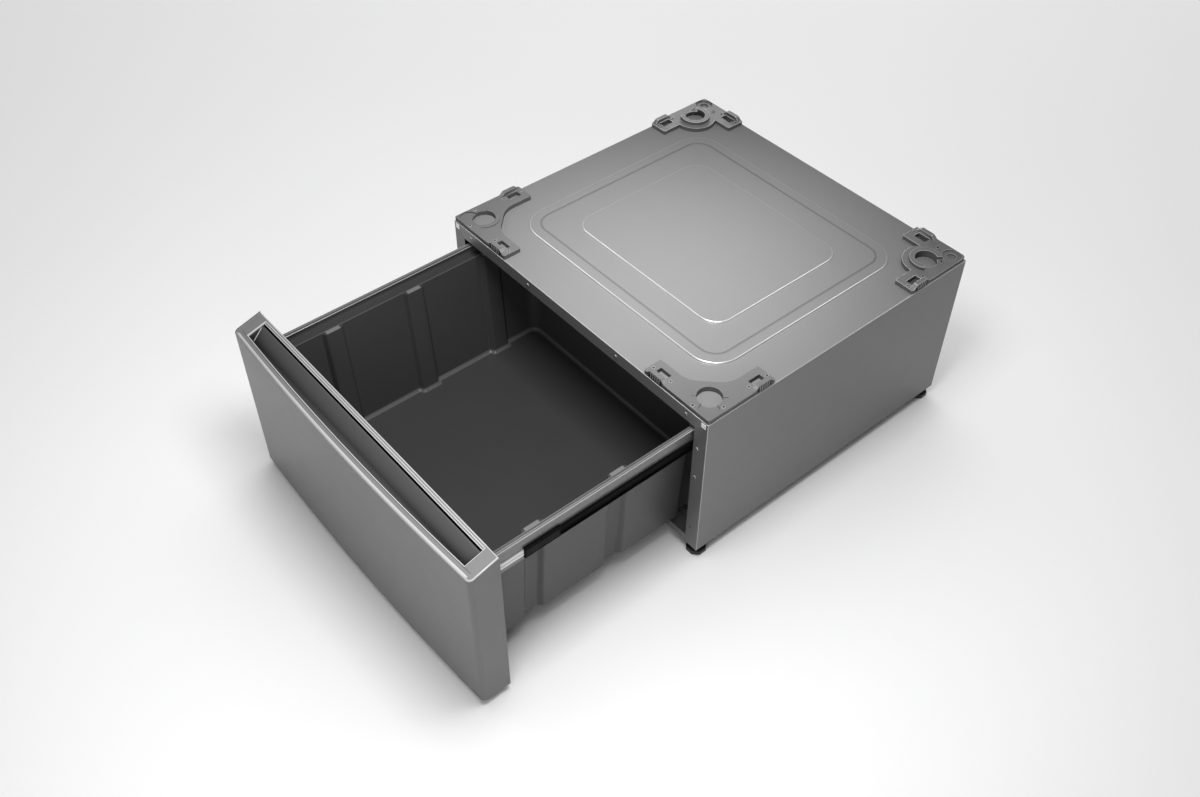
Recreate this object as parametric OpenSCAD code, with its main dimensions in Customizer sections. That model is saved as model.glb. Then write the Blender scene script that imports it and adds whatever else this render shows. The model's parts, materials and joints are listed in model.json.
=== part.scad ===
// Laundry pedestal with one storage drawer, shown with the drawer pulled out.
// The origin is on the floor, at the centre of the whole footprint.
// X runs across the front, Y runs from the drawer front to the back, Z is up.

/* [Cabinet] */
// Width of the cabinet
cab_w = 686; // [640:1:720]
// Depth of the cabinet, front frame to back
cab_d = 641; // [600:1:700]
// Height of the cabinet without its feet
cab_h = 318.5; // [300:0.5:340]
// Gap between the floor and the cabinet
stand_h = 22; // [20:0.5:30]
// Thickness of the cabinet sheet
sheet_t = 1; // [0.8:0.1:1.4]
// Thickness of the inner frame rails
rail_t = 1.2; // [1:0.1:1.6]
// Width of the front uprights
upright_w = 29; // [28:0.5:34]
// Height of the turned-down lip of the top panel
lip_h = 25; // [20:1:28]
// Width of the other folded returns of the sheets
return_w = 20; // [14:1:24]
// Height of the front and rear sills
sill_h = 15.5; // [12:0.5:18]
// Depth of the front and rear sills
sill_d = 40; // [36:1:60]
// Depth of the front top rail
top_rail_d = 24; // [16:1:40]

/* [Top panel pressing] */
// Width of the outer raised step
step_w = 527; // [480:1:540]
// Depth of the outer raised step
step_d = 466; // [420:1:480]
// Corner radius of the outer raised step
step_r = 55; // [30:1:70]
// Height of the outer raised step
step_h = 3; // [2:0.5:4]
// Distance of the pressed groove inside the outer step
groove_inset = 20; // [12:1:26]
// Width of the pressed groove
groove_w = 4; // [3:0.5:8]
// Depth of the pressed groove
groove_depth = 0.4; // [0.2:0.1:0.6]
// Width of the centre raised step
centre_w = 378; // [320:1:400]
// Depth of the centre raised step
centre_d = 317; // [280:1:340]
// Corner radius of the centre raised step
centre_r = 38; // [20:1:60]
// Height of the centre raised step over the outer one
centre_h = 2.5; // [2:0.5:4]

/* [Corner retainers] */
// Thickness of a corner retainer
ret_t = 8.5; // [7:0.5:10]
// Gap between a retainer and the cabinet edge
ret_edge = 1; // [0.5:0.5:2]
// Length of the sideways arm of a front retainer
front_arm_x = 154; // [150:1:170]
// Width of the sideways arm of a front retainer
front_arm_x_w = 38.5; // [36:0.5:42]
// Length of the depthwise arm of every retainer
arm_y = 150; // [148:1:170]
// Width of the depthwise arm of every retainer
arm_y_w = 41; // [40:0.5:46]
// Reach of the slanted inner edge of a front retainer
front_web = 129; // [120:1:136]
// Radius of the curves in the slanted inner edge of a front retainer
front_web_r = 45; // [20:1:60]
// Corner radius at the ends of the retainer arms
arm_end_r = 3; // [2:0.5:4]
// Radius of the outer corner of a rear retainer
rear_corner_r = 9; // [3:0.5:12]
// Radius of the front foot socket
front_socket_r = 21.5; // [19:0.5:23]
// Centre of the front foot socket from the side edge
front_socket_a = 40; // [38:0.5:42]
// Centre of the front foot socket from the front edge
front_socket_b = 40; // [38:0.5:42]
// Length of the sideways arm of a rear retainer
rear_arm_x = 115; // [112:1:130]
// Width of the sideways arm of a rear retainer
rear_arm_x_w = 41; // [38:0.5:44]
// Radius of the rear foot socket
rear_socket_r = 20.5; // [18:0.5:22]
// Centre of the rear foot socket from the side edge
rear_socket_a = 41.5; // [40:0.5:44]
// Centre of the rear foot socket from the back edge
rear_socket_b = 66; // [62:0.5:70]
// Wall of the raised ring round a foot socket
ring_wall = 9.5; // [7:0.5:10]
// Height of the rear ring over its retainer
rear_ring_h = 6; // [4:0.5:7]
// Height of the low front collar over its retainer
front_collar_h = 1.5; // [1:0.5:2]
// Wall of the low front collar
front_collar_wall = 8.5; // [6:0.5:9]
// Width of the rim of plate round the rear ring
ring_rim = 12; // [9:1:13]
// Opening angle of the rear ring towards the side
ring_gap_angle = 112; // [80:1:120]
// Radius of the round recess in the corner
recess_r = 17.5; // [14:0.5:18]
// Centre of the corner recess from both edges
recess_a = 19.5; // [19.5:0.5:24]
// Depth of the corner recess
recess_depth = 2.5; // [1.5:0.5:4]
// Length of a clip window
window_l = 25; // [20:0.5:26]
// Width of a clip window
window_w = 14; // [10:0.5:15]
// Near edge of a clip window from the cabinet edge
window_edge = 12; // [11:0.5:13]
// Centre of the front sideways window from the side edge
front_window_a = 126.5; // [124:0.5:128]
// Centre of the rear sideways window from the side edge
rear_window_a = 88.5; // [86:0.5:90]
// Centre of the depthwise windows from the front or back edge
window_b = 125; // [122:0.5:127]
// Distance of a clip screw hole from the window centre
clip_hole_pitch = 20.5; // [18:0.5:21]
// Distance of the clip screw holes from the cabinet edge
clip_hole_edge = 16; // [14:0.5:20]
// Radius of a clip screw hole
clip_hole_r = 2; // [1.5:0.1:2.2]
// Length of the raised hook lip beside a window
hook_l = 42; // [30:1:44]
// Width of the raised hook lip
hook_w = 9; // [7:0.5:9.5]
// Height of the raised hook lip over its retainer
hook_h = 6.5; // [4:0.5:7]
// Slope length at both ends of the hook lip
hook_end = 8; // [4:0.5:10]

// Side screw of a front retainer from the side and front edges
front_fix_side = [9, 41]; // [7:1:60]
// Inner screw of a front retainer from the side and front edges
front_fix_inner = [43, 6]; // [5:1:60]
// Side screw of a rear retainer from the side and back edges
rear_fix_side = [20, 49]; // [7:1:60]
// Inner screw of a rear retainer from the side and back edges
rear_fix_inner = [50, 22]; // [7:1:60]

/* [Drawer position] */
// Distance that the drawer is pulled out
pull_out = 406; // [300:1:410]

/* [Drawer front] */
// Width of the drawer front
panel_w = 684; // [640:1:700]
// Depth of the drawer front at its ends
panel_end_d = 54; // [50:0.5:60]
// Bow of the drawer front at its middle
panel_bow = 9.5; // [6:0.5:12]
// Radius of the upright front corners
panel_r = 9; // [6:0.5:12]
// Distance from the cabinet top up to the back edge of the front
panel_rise = 4.5; // [2:0.5:8]
// Gap between the floor and the drawer front
panel_floor = 14.5; // [12:0.5:20]
// Fall of the top of the drawer front in degrees
panel_slope = 16; // [10:0.5:20]
// Thickness of the drawer front sheet
panel_t = 1; // [0.8:0.1:1.2]
// Width of the inward lip that carries the top cap
panel_lip = 6; // [5:0.5:8]
// Thickness of the top cap
cap_t = 4; // [3:0.5:5]
// Gap between the top cap and the front sheet
cap_gap = 0.4; // [0.3:0.1:0.6]
// Width of the cap at both ends of the hand pocket
cap_end = 29; // [26:1:40]
// Width of the cap behind the hand pocket
cap_back = 6.5; // [5:0.5:9]
// Width of the cap in front of the hand pocket
cap_front = 14.7; // [13:0.1:18]
// Wall of the hand pocket
pocket_t = 2; // [1.5:0.5:2.5]
// Radius of the scoop at the bottom of the hand pocket
scoop_r = 10; // [8:0.5:11]
// Depth of the scoop centre below the back edge of the front
scoop_drop = 22; // [16:0.5:30]
// Distance of the scoop centre from the back of the front
scoop_y = 41; // [40:0.5:42]

/* [Drawer tub] */
// Depth of the tub at its rim
tub_d = 550; // [500:1:556]
// Wall of the tub
tub_t = 3; // [2.5:0.5:3.5]
// Draft of the side and back walls from rim to floor
tub_draft = 14.4; // [10:0.1:16]
// Draft of the front wall
tub_front_draft = 8; // [6:0.5:12]
// Distance from the cabinet top down to the tub rim
rim_drop = 56; // [54:0.5:60]
// Distance from the cabinet top down to the underside of the tub
tub_bottom_drop = 296; // [280:1:297]
// Corner radius of the tub
tub_r = 22; // [15:1:30]
// Width of the flange round the tub
flange_w = 15; // [12:0.5:18]
// Thickness of the flange
flange_t = 2.5; // [2:0.5:3]
// Width of the raised bead at the inner edge of the rim
bead_w = 5; // [4:0.5:6]
// Height of the raised bead over the flange
bead_h = 2; // [1:0.5:2.5]
// Number of grooves on each side wall
flute_count = 3; // [2:1:3]
// Place of the first groove from the front of the tub
flute_y = 99; // [80:1:120]
// Distance between the side grooves
flute_pitch = 170; // [150:1:180]
// Width of a groove at the wall
flute_w = 44; // [36:1:50]
// Width of a groove at its bottom
flute_floor_w = 26; // [20:1:30]
// Depth of a groove
flute_depth = 9; // [6:0.5:10]

/* [Runners] */
// Gap between the runner and the front upright
runner_gap = 1; // [0.8:0.1:1.5]
// Distance from the cabinet top down to the runner centre
runner_drop = 71; // [68:0.5:74]
// Height of the drawer runner
runner_h = 20; // [18:0.5:22]
// Depth of the drawer runner profile
runner_d = 4; // [3.5:0.1:4.5]
// Sheet of the runners
runner_t = 1.2; // [1:0.1:1.3]
// Length of the drawer runner
runner_l = 527; // [510:1:540]
// Distance of the runner behind the drawer front
runner_y = 64; // [56:1:70]
// Length of the cabinet runner
cab_runner_l = 597; // [590:1:610]
// Distance of the cabinet runner behind the front frame
cab_runner_y = 3; // [2:0.5:6]
// Radius of a bearing ball
ball_r = 2.05; // [1.8:0.05:2.3]
// Clearance over and under a bearing ball
ball_gap = 0.1; // [0.05:0.05:0.2]
// Clearance of a ball in its cage hole
cage_hole_gap = 0.05; // [0.02:0.01:0.1]
// Number of balls in one row
ball_count = 8; // [4:1:8]
// Distance between the balls of a row
ball_pitch = 20; // [15:1:21]
// Length of the ball cage
cage_l = 170; // [165:1:175]
// Thickness of the ball cage
cage_t = 0.8; // [0.6:0.1:1]
// Side gap round the ball cage
cage_gap = 0.6; // [0.4:0.1:0.7]
// Distance of the cage behind the front frame with the drawer out
cage_y = 8; // [5:1:10]
// Sheet of the side rails that carry the tub
tub_rail_t = 2; // [1.5:0.1:2.5]
// Distance from the cabinet top down to the top of the side rail
tub_rail_drop = 37; // [34:0.5:40]
// Height of the folded top edge of the side rail
hem_h = 4; // [3:0.5:6]
// Thickening of the folded top edge
hem_t = 1; // [0.5:0.1:1.2]
// Sheet of the ledge that carries the tub flange
ledge_t = 1.5; // [1:0.1:2]
// Width of the ledge
ledge_w = 14; // [10:0.5:14.5]
// Overhang of the side rail below the runner
tub_rail_foot = 5; // [2:0.5:8]
// Height of the bright front bracket
front_bracket_h = 12.5; // [10:0.5:14]
// Thickness of the bright front bracket
front_bracket_t = 2; // [1.5:0.1:2.5]
// Length of the black cover at the front of a runner
end_cap_l = 69; // [40:1:80]
// Height of the cover over the runner
end_cap_rise = 3; // [2:0.5:3.5]
// Thickness of a runner bracket in the cabinet
slide_bracket_t = 1.5; // [1:0.1:2]
// Length of a runner bracket
slide_bracket_l = 30; // [20:1:40]
// Distance of the first runner bracket behind the front frame
slide_bracket_y = 30; // [29:1:50]
// Distance of the second runner bracket from the back
slide_bracket_back = 110; // [90:1:140]
// Length of the rubber stop at the end of a runner
stop_l = 5; // [3:0.5:6]

/* [Feet] */
// Distance of a foot centre from the side
foot_a = 18; // [17:0.5:19]
// Distance of a foot centre from the front or back
foot_b = 18; // [17:0.5:19]
// Radius of the eight-sided foot
foot_r = 19; // [16:0.5:20]
// Height of the foot pad
foot_h = 10; // [8:0.5:12]
// Radius of the foot screw
stem_r = 6; // [5:0.5:6]
// Height of the top of the foot screw over the floor
stem_top = 60; // [55:1:70]
// Running clearance of the foot screw
stem_gap = 0.1; // [0.05:0.01:0.1]
// Radius of the clearance holes for the foot screw
stem_hole_r = 8; // [7.5:0.1:8.5]
// Radius over the corners of the lock nut
nut_r = 11; // [10:0.5:12]
// Thickness of the lock nut
nut_t = 7; // [5:0.5:8]
// Thickness of a foot bracket
foot_plate_t = 3; // [2:0.5:4]
// Width of a foot bracket
foot_plate_w = 40; // [34:1:41]
// Radius of the threaded boss on the foot bracket
boss_r = 9; // [8:0.5:10]
// Height of the threaded boss
boss_h = 12; // [8:1:20]
// Width of a corner post
post_w = 24; // [22:0.5:26]

/* [Fasteners] */
// Radius of a screw head
head_r = 3.4; // [3:0.1:4]
// Height of a screw head
head_h = 1.2; // [0.8:0.1:1.6]
// Radius of a screw shank
shank_r = 1.7; // [1.4:0.1:2]
// Length of a sheet screw below its head
shank_l = 8; // [6:0.5:10]
// Places of the inner and outer lip screws from the middle
lip_screw_x = [120, 292]; // [100:1:300]
// Drops of the upright screws below the cabinet top
upright_screw_drops = [70, 139]; // [60:1:200]
// Distance of the upright screws from the side
upright_screw_a = 20; // [16:0.5:22]
// Distance of the sill screws from the side
sill_screw_a = [39, 47]; // [36:1:60]
// Radius of the spare hole in an upright
spare_hole_r = 2.5; // [2:0.1:3]
// Drop of the spare hole below the cabinet top
spare_hole_drop = 271; // [250:1:280]
// Size of the bright clip in the upper front corners
clip_size = 10; // [8:0.5:11]
// Distance of the bright clip from the side
clip_a = 5; // [4:0.5:6]
// Drop of the bright clip below the cabinet top
clip_drop = 3; // [2.5:0.5:4]
// Distance that a clip stands out of the frame
clip_proud = 0.4; // [0.2:0.1:0.6]
// Radius of a rubber closing bumper
bumper_r = 6; // [4:0.5:7]
// Thickness of a rubber closing bumper
bumper_t = 1.6; // [1:0.1:1.8]
// Distance of the closing bumpers from the ends of the drawer front
bumper_in = 13.5; // [9:0.5:18]
// Places of the closing bumpers above the floor
bumper_z = [60, 290]; // [50:1:300]
// Places of the drawer screws, as shares of the half width of the tub
drawer_screw_shares = [0.27, 0.82]; // [0.2:0.01:0.9]
// Number of screws along each side of the back panel
back_screw_count = 4; // [2:1:5]

/* [Hidden] */
$fn = 64;
over = 1;
// Number of flats round the scoop of the hand pocket
scoop_steps = 16;
corner_steps = 6;
top_z = stand_h + cab_h;
half_w = cab_w / 2;
open_x = half_w - upright_w;
front_reach = pull_out + panel_end_d + panel_bow;
cab_y = (front_reach - cab_d - head_h) / 2;
frame_z = stand_h + sheet_t;
back_screw_pitch = (cab_h - 2 * lip_h) / (back_screw_count - 1);
back_screw_z = [for (i = [0 : back_screw_count - 1]) stand_h + lip_h + i * back_screw_pitch];
retainer_z = top_z + ret_t;
// Bow radius of the drawer front from its chord and height
bow_r = (panel_w * panel_w / 4 + panel_bow * panel_bow) / (2 * panel_bow);
bow_y = bow_r - panel_end_d - panel_bow;
panel_z = top_z + panel_rise;
panel_h = panel_z - panel_floor + over;
slope_rise = front_reach;
pocket_x = panel_w / 2 - cap_end + pocket_t + cap_gap;
pocket_front = scoop_y + scoop_r + pocket_t + cap_gap;
// Runner profile places, from the front opening inwards
runner_x = open_x - runner_gap;
web_x = runner_x - runner_d;
tub_rail_x = web_x - tub_rail_t;
runner_z = top_z - runner_drop;
ball_z = runner_h / 2 + ball_gap + ball_r;
race_z = ball_z + ball_r + ball_gap;
cage_in_x = web_x + cage_gap;
cage_web_x = runner_x + 2 * cage_gap + ball_gap;
cage_out_x = cage_web_x + cage_t;
cab_web_x = cage_out_x + cage_gap;
cab_race_x = cage_in_x + cage_t;
ball_x = (cage_in_x + cage_out_x) / 2;
bracket_x = cab_web_x + runner_t;
bracket_h = race_z + runner_t;
// Tub places
rim_z = top_z - rim_drop;
flange_z = rim_z - bead_h;
flange_x = tub_rail_x;
tub_x = flange_x - flange_w;
tub_floor_z = top_z - tub_bottom_drop;
tub_h = rim_z - tub_floor_z;
draft_angle = atan(tub_draft / tub_h);
flange_back = tub_d + flange_w;
GREY_PAINT = [0.45, 0.45, 0.46];
DARK_PAINT = [0.28, 0.28, 0.29];
RETAINER_GREY = [0.5, 0.5, 0.5];
TUB_GREY = [0.2, 0.2, 0.21];
CAP_GREY = [0.68, 0.68, 0.69];
BLACK = [0.06, 0.06, 0.06];
ZINC = [0.8, 0.8, 0.8];

// Box between two corners
module box(low, high) {
    translate(low) cube(high - low);
}

// Upright rectangle with round corners, centred
module rounded(w, d, r) {
    square([w - 2 * r, d], center = true);
    square([w, d - 2 * r], center = true);
    for (x = [-1, 1], y = [-1, 1])
        translate([x * (w / 2 - r), y * (d / 2 - r)]) circle(r);
}

// Shapes given in cabinet places, with Y from the front frame
module in_cabinet() {
    translate([0, cab_y, 0]) children();
}

// Shapes given in drawer places, with Y from the back of the drawer front
module in_drawer() {
    translate([0, cab_y - pull_out, 0]) children();
}

// Right-hand shapes, mirrored where side is -1
module on_side(side) {
    mirror([side < 0 ? 1 : 0, 0, 0]) children();
}

// Corner shapes: X runs in from the side and Y in from the front or the back
module at_corner(side, rear) {
    in_cabinet()
        translate([side * half_w, rear ? cab_d : 0, 0])
            mirror([side > 0 ? 1 : 0, 0, 0])
                mirror([0, rear ? 1 : 0, 0])
                    children();
}

// Cabinet sheets

module top_steps(shrink, depth) {
    rise = step_h - shrink;
    translate([0, cab_d / 2, top_z - depth])
        linear_extrude(depth + rise)
            rounded(step_w - 2 * shrink, step_d - 2 * shrink, step_r - shrink);
    translate([0, cab_d / 2, top_z - depth])
        linear_extrude(depth + rise + centre_h)
            rounded(centre_w - 2 * shrink, centre_d - 2 * shrink, centre_r - shrink);
}

module pressed_groove() {
    w = step_w - 2 * groove_inset;
    d = step_d - 2 * groove_inset;
    r = step_r - groove_inset;
    translate([0, cab_d / 2, top_z + step_h - groove_depth])
        linear_extrude(over)
            difference() {
                rounded(w, d, r);
                rounded(w - 2 * groove_w, d - 2 * groove_w, r - groove_w);
            }
}

// The lip ends meet the uprights in a mitre
module front_lip() {
    translate([0, sheet_t, 0])
        rotate([90, 0, 0])
            linear_extrude(sheet_t)
                polygon([
                    [-open_x, top_z - lip_h], [open_x, top_z - lip_h],
                    [half_w, top_z - sheet_t], [-half_w, top_z - sheet_t]
                ]);
}

module clip_cut() {
    for (side = [-1, 1])
        on_side(side)
            box([half_w - clip_a - clip_size, -over, top_z - clip_drop - clip_size],
                [half_w - clip_a, sheet_t + over, top_z - clip_drop]);
}

module top_panel() {
    color(GREY_PAINT)
    in_cabinet()
        difference() {
            union() {
                box([-half_w, 0, top_z - sheet_t], [half_w, cab_d, top_z]);
                top_steps(0, sheet_t);
                front_lip();
                box([return_w - half_w, cab_d - sheet_t, top_z - lip_h],
                    [half_w - return_w, cab_d, top_z]);
            }
            top_steps(sheet_t, sheet_t + over);
            pressed_groove();
            clip_cut();
            lip_screw_shanks();
            top_screw_shanks();
        }
}

module lip_screw_shanks() {
    for (x = lip_screw_x, side = [-1, 1])
        translate([side * x, -over, top_z - lip_h / 2])
            rotate([-90, 0, 0])
                cylinder(r = shank_r, h = shank_l + over);
}

module side_panel(side) {
    color(GREY_PAINT)
    in_cabinet()
        on_side(side)
            difference() {
                union() {
                    box([half_w - sheet_t, 0, stand_h], [half_w, cab_d, top_z - sheet_t]);
                    box([open_x, 0, stand_h], [half_w, sheet_t, top_z - lip_h]);
                    upright_mitre();
                    box([half_w - return_w, cab_d - sheet_t, stand_h],
                        [half_w, cab_d, top_z - sheet_t]);
                    box([half_w - return_w, 0, top_z - 2 * sheet_t],
                        [half_w, cab_d - 2 * sheet_t, top_z - sheet_t]);
                    box([half_w - return_w, 0, stand_h], [half_w, cab_d, frame_z]);
                }
                clip_cut();
                lip_behind();
                translate([half_w - foot_a, foot_b, 0]) cylinder(r = stem_hole_r, h = top_z / 2);
                translate([half_w - foot_a, cab_d - foot_b, 0])
                    cylinder(r = stem_hole_r, h = top_z / 2);
                upright_screw_shanks();
                translate([half_w - upright_screw_a, -over, top_z - spare_hole_drop])
                    rotate([-90, 0, 0])
                        cylinder(r = spare_hole_r, h = sheet_t + 2 * over);
                back_screw_shanks();
                top_screw_shanks();
            }
}

// Upper end of the upright, beside the slanted end of the lip
module upright_mitre() {
    translate([0, sheet_t, 0])
        rotate([90, 0, 0])
            linear_extrude(sheet_t)
                polygon([
                    [open_x, top_z - lip_h], [half_w, top_z - lip_h], [half_w, top_z - sheet_t]
                ]);
}

// Room for the lip in front of the folded top return
module lip_behind() {
    inner_x = min(open_x, half_w - return_w) - over;
    translate([0, sheet_t, 0])
        rotate([90, 0, 0])
            linear_extrude(sheet_t + over)
                polygon([
                    [inner_x, top_z - lip_h], [open_x, top_z - lip_h],
                    [half_w, top_z - sheet_t], [half_w, top_z + over],
                    [inner_x, top_z + over]
                ]);
}

module upright_screw_shanks() {
    for (drop = upright_screw_drops)
        translate([half_w - upright_screw_a, -over, top_z - drop])
            rotate([-90, 0, 0])
                cylinder(r = shank_r, h = shank_l + over);
}

module back_screw_places() {
    for (z = back_screw_z)
        translate([half_w - return_w / 2, cab_d, z]) children();
}

module back_screw_shanks() {
    back_screw_places()
        translate([0, over, 0])
            rotate([90, 0, 0])
                cylinder(r = shank_r, h = shank_l + over);
}

module back_panel() {
    color(GREY_PAINT)
    in_cabinet()
        difference() {
            box([sheet_t - half_w, cab_d - 2 * sheet_t, frame_z],
                [half_w - sheet_t, cab_d - sheet_t, top_z - 2 * sheet_t]);
            for (side = [-1, 1]) on_side(side) back_screw_shanks();
        }
}

// Inner frame

module front_top_rail() {
    under = top_z - sheet_t;
    color(DARK_PAINT)
    in_cabinet()
        difference() {
            box([return_w - half_w, sheet_t, top_z - lip_h],
                [half_w - return_w, sheet_t + top_rail_d, under]);
            box([-half_w, sheet_t + rail_t, top_z - lip_h + rail_t],
                [half_w, sheet_t + top_rail_d + over, under - rail_t]);
            lip_screw_shanks();
            top_screw_shanks();
        }
}

module sill_body() {
    for (side = [-1, 1])
        on_side(side)
            translate([half_w - foot_a, foot_b, 0]) cylinder(r = stem_hole_r, h = top_z / 2);
}

module sill_screw_shanks() {
    for (a = sill_screw_a, side = [-1, 1])
        translate([side * (half_w - a), -over, frame_z + sill_h / 2])
            rotate([-90, 0, 0])
                cylinder(r = shank_r, h = shank_l + over);
}

module front_sill() {
    color(GREY_PAINT)
    in_cabinet()
        difference() {
            union() {
                box([sheet_t - half_w, sheet_t, frame_z],
                    [half_w - sheet_t, sill_d, frame_z + rail_t]);
                box([sheet_t - half_w, sheet_t, frame_z],
                    [half_w - sheet_t, sheet_t + rail_t, frame_z + sill_h]);
                box([foot_plate_w - half_w, sill_d - rail_t, frame_z],
                    [half_w - foot_plate_w, sill_d, frame_z + sill_h]);
            }
            sill_body();
            sill_screw_shanks();
        }
}

module rear_sill() {
    color(DARK_PAINT)
    in_cabinet()
        translate([0, cab_d, 0])
            mirror([0, 1, 0])
                difference() {
                    union() {
                        box([sheet_t - half_w, 2 * sheet_t, frame_z],
                            [half_w - sheet_t, sill_d, frame_z + rail_t]);
                        box([foot_plate_w - half_w, sill_d - rail_t, frame_z],
                            [half_w - foot_plate_w, sill_d, frame_z + sill_h]);
                    }
                    sill_body();
                }
}

// Angle posts that carry the load of the machine down to the feet
module corner_post(side, rear) {
    low = frame_z + rail_t + foot_plate_t;
    high = top_z - 2 * sheet_t;
    gap = rear ? 2 * sheet_t : sheet_t + rail_t;
    reach = gap + post_w;
    color(DARK_PAINT)
    at_corner(side, rear)
        difference() {
            box([sheet_t, gap, low], [sheet_t + post_w, reach, high]);
            box([sheet_t + rail_t, gap + rail_t, low - over],
                [sheet_t + post_w + over, reach + over, high + over]);
            translate([foot_a, foot_b, 0]) cylinder(r = boss_r + ball_gap, h = low + boss_h);
            if (rear)
                for (z = back_screw_z) post_screw_shank([return_w / 2, -over, z]);
            else
                for (drop = upright_screw_drops)
                    post_screw_shank([upright_screw_a, -over, top_z - drop]);
        }
}

module post_screw_shank(place) {
    translate(place)
        rotate([-90, 0, 0])
            cylinder(r = shank_r, h = shank_l + over);
}

module foot_bracket(side, rear) {
    low = frame_z + rail_t;
    gap = rear ? 2 * sheet_t : sheet_t + rail_t;
    color(DARK_PAINT)
    at_corner(side, rear)
        difference() {
            union() {
                box([sheet_t, gap, low], [foot_plate_w, sill_d - rail_t, low + foot_plate_t]);
                translate([foot_a, foot_b, low])
                    cylinder(r = boss_r, h = foot_plate_t + boss_h);
            }
            translate([foot_a, foot_b, 0]) cylinder(r = stem_r + stem_gap, h = top_z);
        }
}

module foot_lock_nuts() {
    color(ZINC)
    for (side = [-1, 1], rear = [false, true])
        at_corner(side, rear)
            translate([foot_a, foot_b, stand_h - nut_t])
                difference() {
                    cylinder(r = nut_r, h = nut_t, $fn = 6);
                    translate([0, 0, -over])
                        cylinder(r = stem_r + stem_gap, h = nut_t + 2 * over);
                }
}

// Corner retainers for the feet of the machine

// Screws that fix a retainer, at places counted from the corner
function fixing_places(rear) = rear ? [rear_fix_side, rear_fix_inner] : [front_fix_side, front_fix_inner];

module fixing_shanks(rear) {
    for (p = fixing_places(rear))
        translate([p.x, p.y, top_z - shank_l])
            cylinder(r = shank_r, h = ret_t + shank_l + over);
}

module top_screw_shanks() {
    for (side = [-1, 1], rear = [false, true])
        translate([side * half_w, rear ? cab_d : 0, 0])
            mirror([side > 0 ? 1 : 0, 0, 0])
                mirror([0, rear ? 1 : 0, 0])
                    fixing_shanks(rear);
}

// Hook lip beside a window, running along X from its centre
module hook(along) {
    translate([along, ret_edge, retainer_z])
        translate([0, hook_w, 0])
            rotate([90, 0, 0])
                linear_extrude(hook_w)
                    polygon([
                        [-hook_l / 2, 0], [hook_l / 2, 0],
                        [hook_l / 2 - hook_end, hook_h], [hook_end - hook_l / 2, hook_h]
                    ]);
}

// Same lip on the other arm, running along Y
module swapped() {
    mirror([1, -1, 0]) children();
}

module window_cut(along) {
    translate([along, 0, top_z - over]) {
        translate([-window_l / 2, window_edge, 0])
            cube([window_l, window_w, ret_t + 2 * over]);
        for (end = [-1, 1])
            translate([end * clip_hole_pitch, clip_hole_edge, 0])
                cylinder(r = clip_hole_r, h = ret_t + 2 * over);
    }
}

module corner_recess(depth) {
    translate([recess_a, recess_a, retainer_z - depth])
        cylinder(r = recess_r, h = depth + over);
}

// Points of a corner at p rounded to radius r, between its neighbours a and b
function round_corner(a, p, b, r) =
    let (
        u = (a - p) / norm(a - p),
        v = (b - p) / norm(b - p),
        half = acos(u * v) / 2,
        centre = p + (u + v) / norm(u + v) * r / sin(half),
        first = p + u * r / tan(half) - centre,
        last = p + v * r / tan(half) - centre
    )
    [for (i = [0 : corner_steps])
        let (m = first + (last - first) * i / corner_steps)
        centre + m / norm(m) * r];

// Outline with a radius for each corner
module soft_outline(points, radii) {
    count = len(points);
    polygon([
        for (i = [0 : count - 1])
            each round_corner(
                points[(i + count - 1) % count], points[i], points[(i + 1) % count], radii[i]
            )
    ]);
}

module front_retainer(side) {
    color(RETAINER_GREY)
    at_corner(side, false)
        difference() {
            union() {
                translate([0, 0, top_z])
                    linear_extrude(ret_t)
                        soft_outline(
                            [
                                [ret_edge, ret_edge], [front_arm_x, ret_edge],
                                [front_arm_x, front_arm_x_w],
                                [front_web - front_arm_x_w, front_arm_x_w],
                                [arm_y_w, front_web - arm_y_w],
                                [arm_y_w, arm_y], [ret_edge, arm_y]
                            ],
                            [
                                arm_end_r, arm_end_r, arm_end_r, front_web_r,
                                front_web_r, arm_end_r, arm_end_r
                            ]
                        );
                hook(front_window_a);
                swapped() hook(window_b);
                front_collar();
            }
            window_cut(front_window_a);
            swapped() window_cut(window_b);
            translate([front_socket_a, front_socket_b, top_z - over])
                cylinder(r = front_socket_r, h = ret_t + front_collar_h + 2 * over);
            corner_recess(recess_depth);
            fixing_shanks(false);
        }
}

// Low collar on the inner half of the front socket
module front_collar() {
    collar_r = front_socket_r + front_collar_wall;
    translate([front_socket_a, front_socket_b, retainer_z])
        intersection() {
            cylinder(r = collar_r, h = front_collar_h);
            rotate([0, 0, -45])
                translate([-collar_r, 0, 0])
                    cube([2 * collar_r, collar_r, front_collar_h]);
        }
}

module rear_retainer(side) {
    plate_r = rear_socket_r + ring_wall + ring_rim;
    color(RETAINER_GREY)
    at_corner(side, true)
        difference() {
            union() {
                translate([0, 0, top_z])
                    linear_extrude(ret_t)
                        soft_outline(
                            [
                                [ret_edge, ret_edge], [rear_arm_x, ret_edge],
                                [rear_arm_x, rear_arm_x_w], [arm_y_w, rear_arm_x_w],
                                [arm_y_w, arm_y], [ret_edge, arm_y]
                            ],
                            [rear_corner_r, for (i = [1 : 5]) arm_end_r]
                        );
                translate([0, 0, top_z]) linear_extrude(ret_t) rear_bulge(plate_r);
                hook(rear_window_a);
                swapped() hook(window_b);
                rear_ring();
            }
            window_cut(rear_window_a);
            swapped() window_cut(window_b);
            translate([rear_socket_a, rear_socket_b, top_z - over])
                cylinder(r = rear_socket_r, h = ret_t + rear_ring_h + 2 * over);
            corner_recess(recess_depth);
            translate([0, 0, -recess_depth])
                translate([recess_a, recess_a, retainer_z - recess_depth])
                    cylinder(r = recess_r / 2, h = 2 * recess_depth + over);
            fixing_shanks(true);
        }
}

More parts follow.
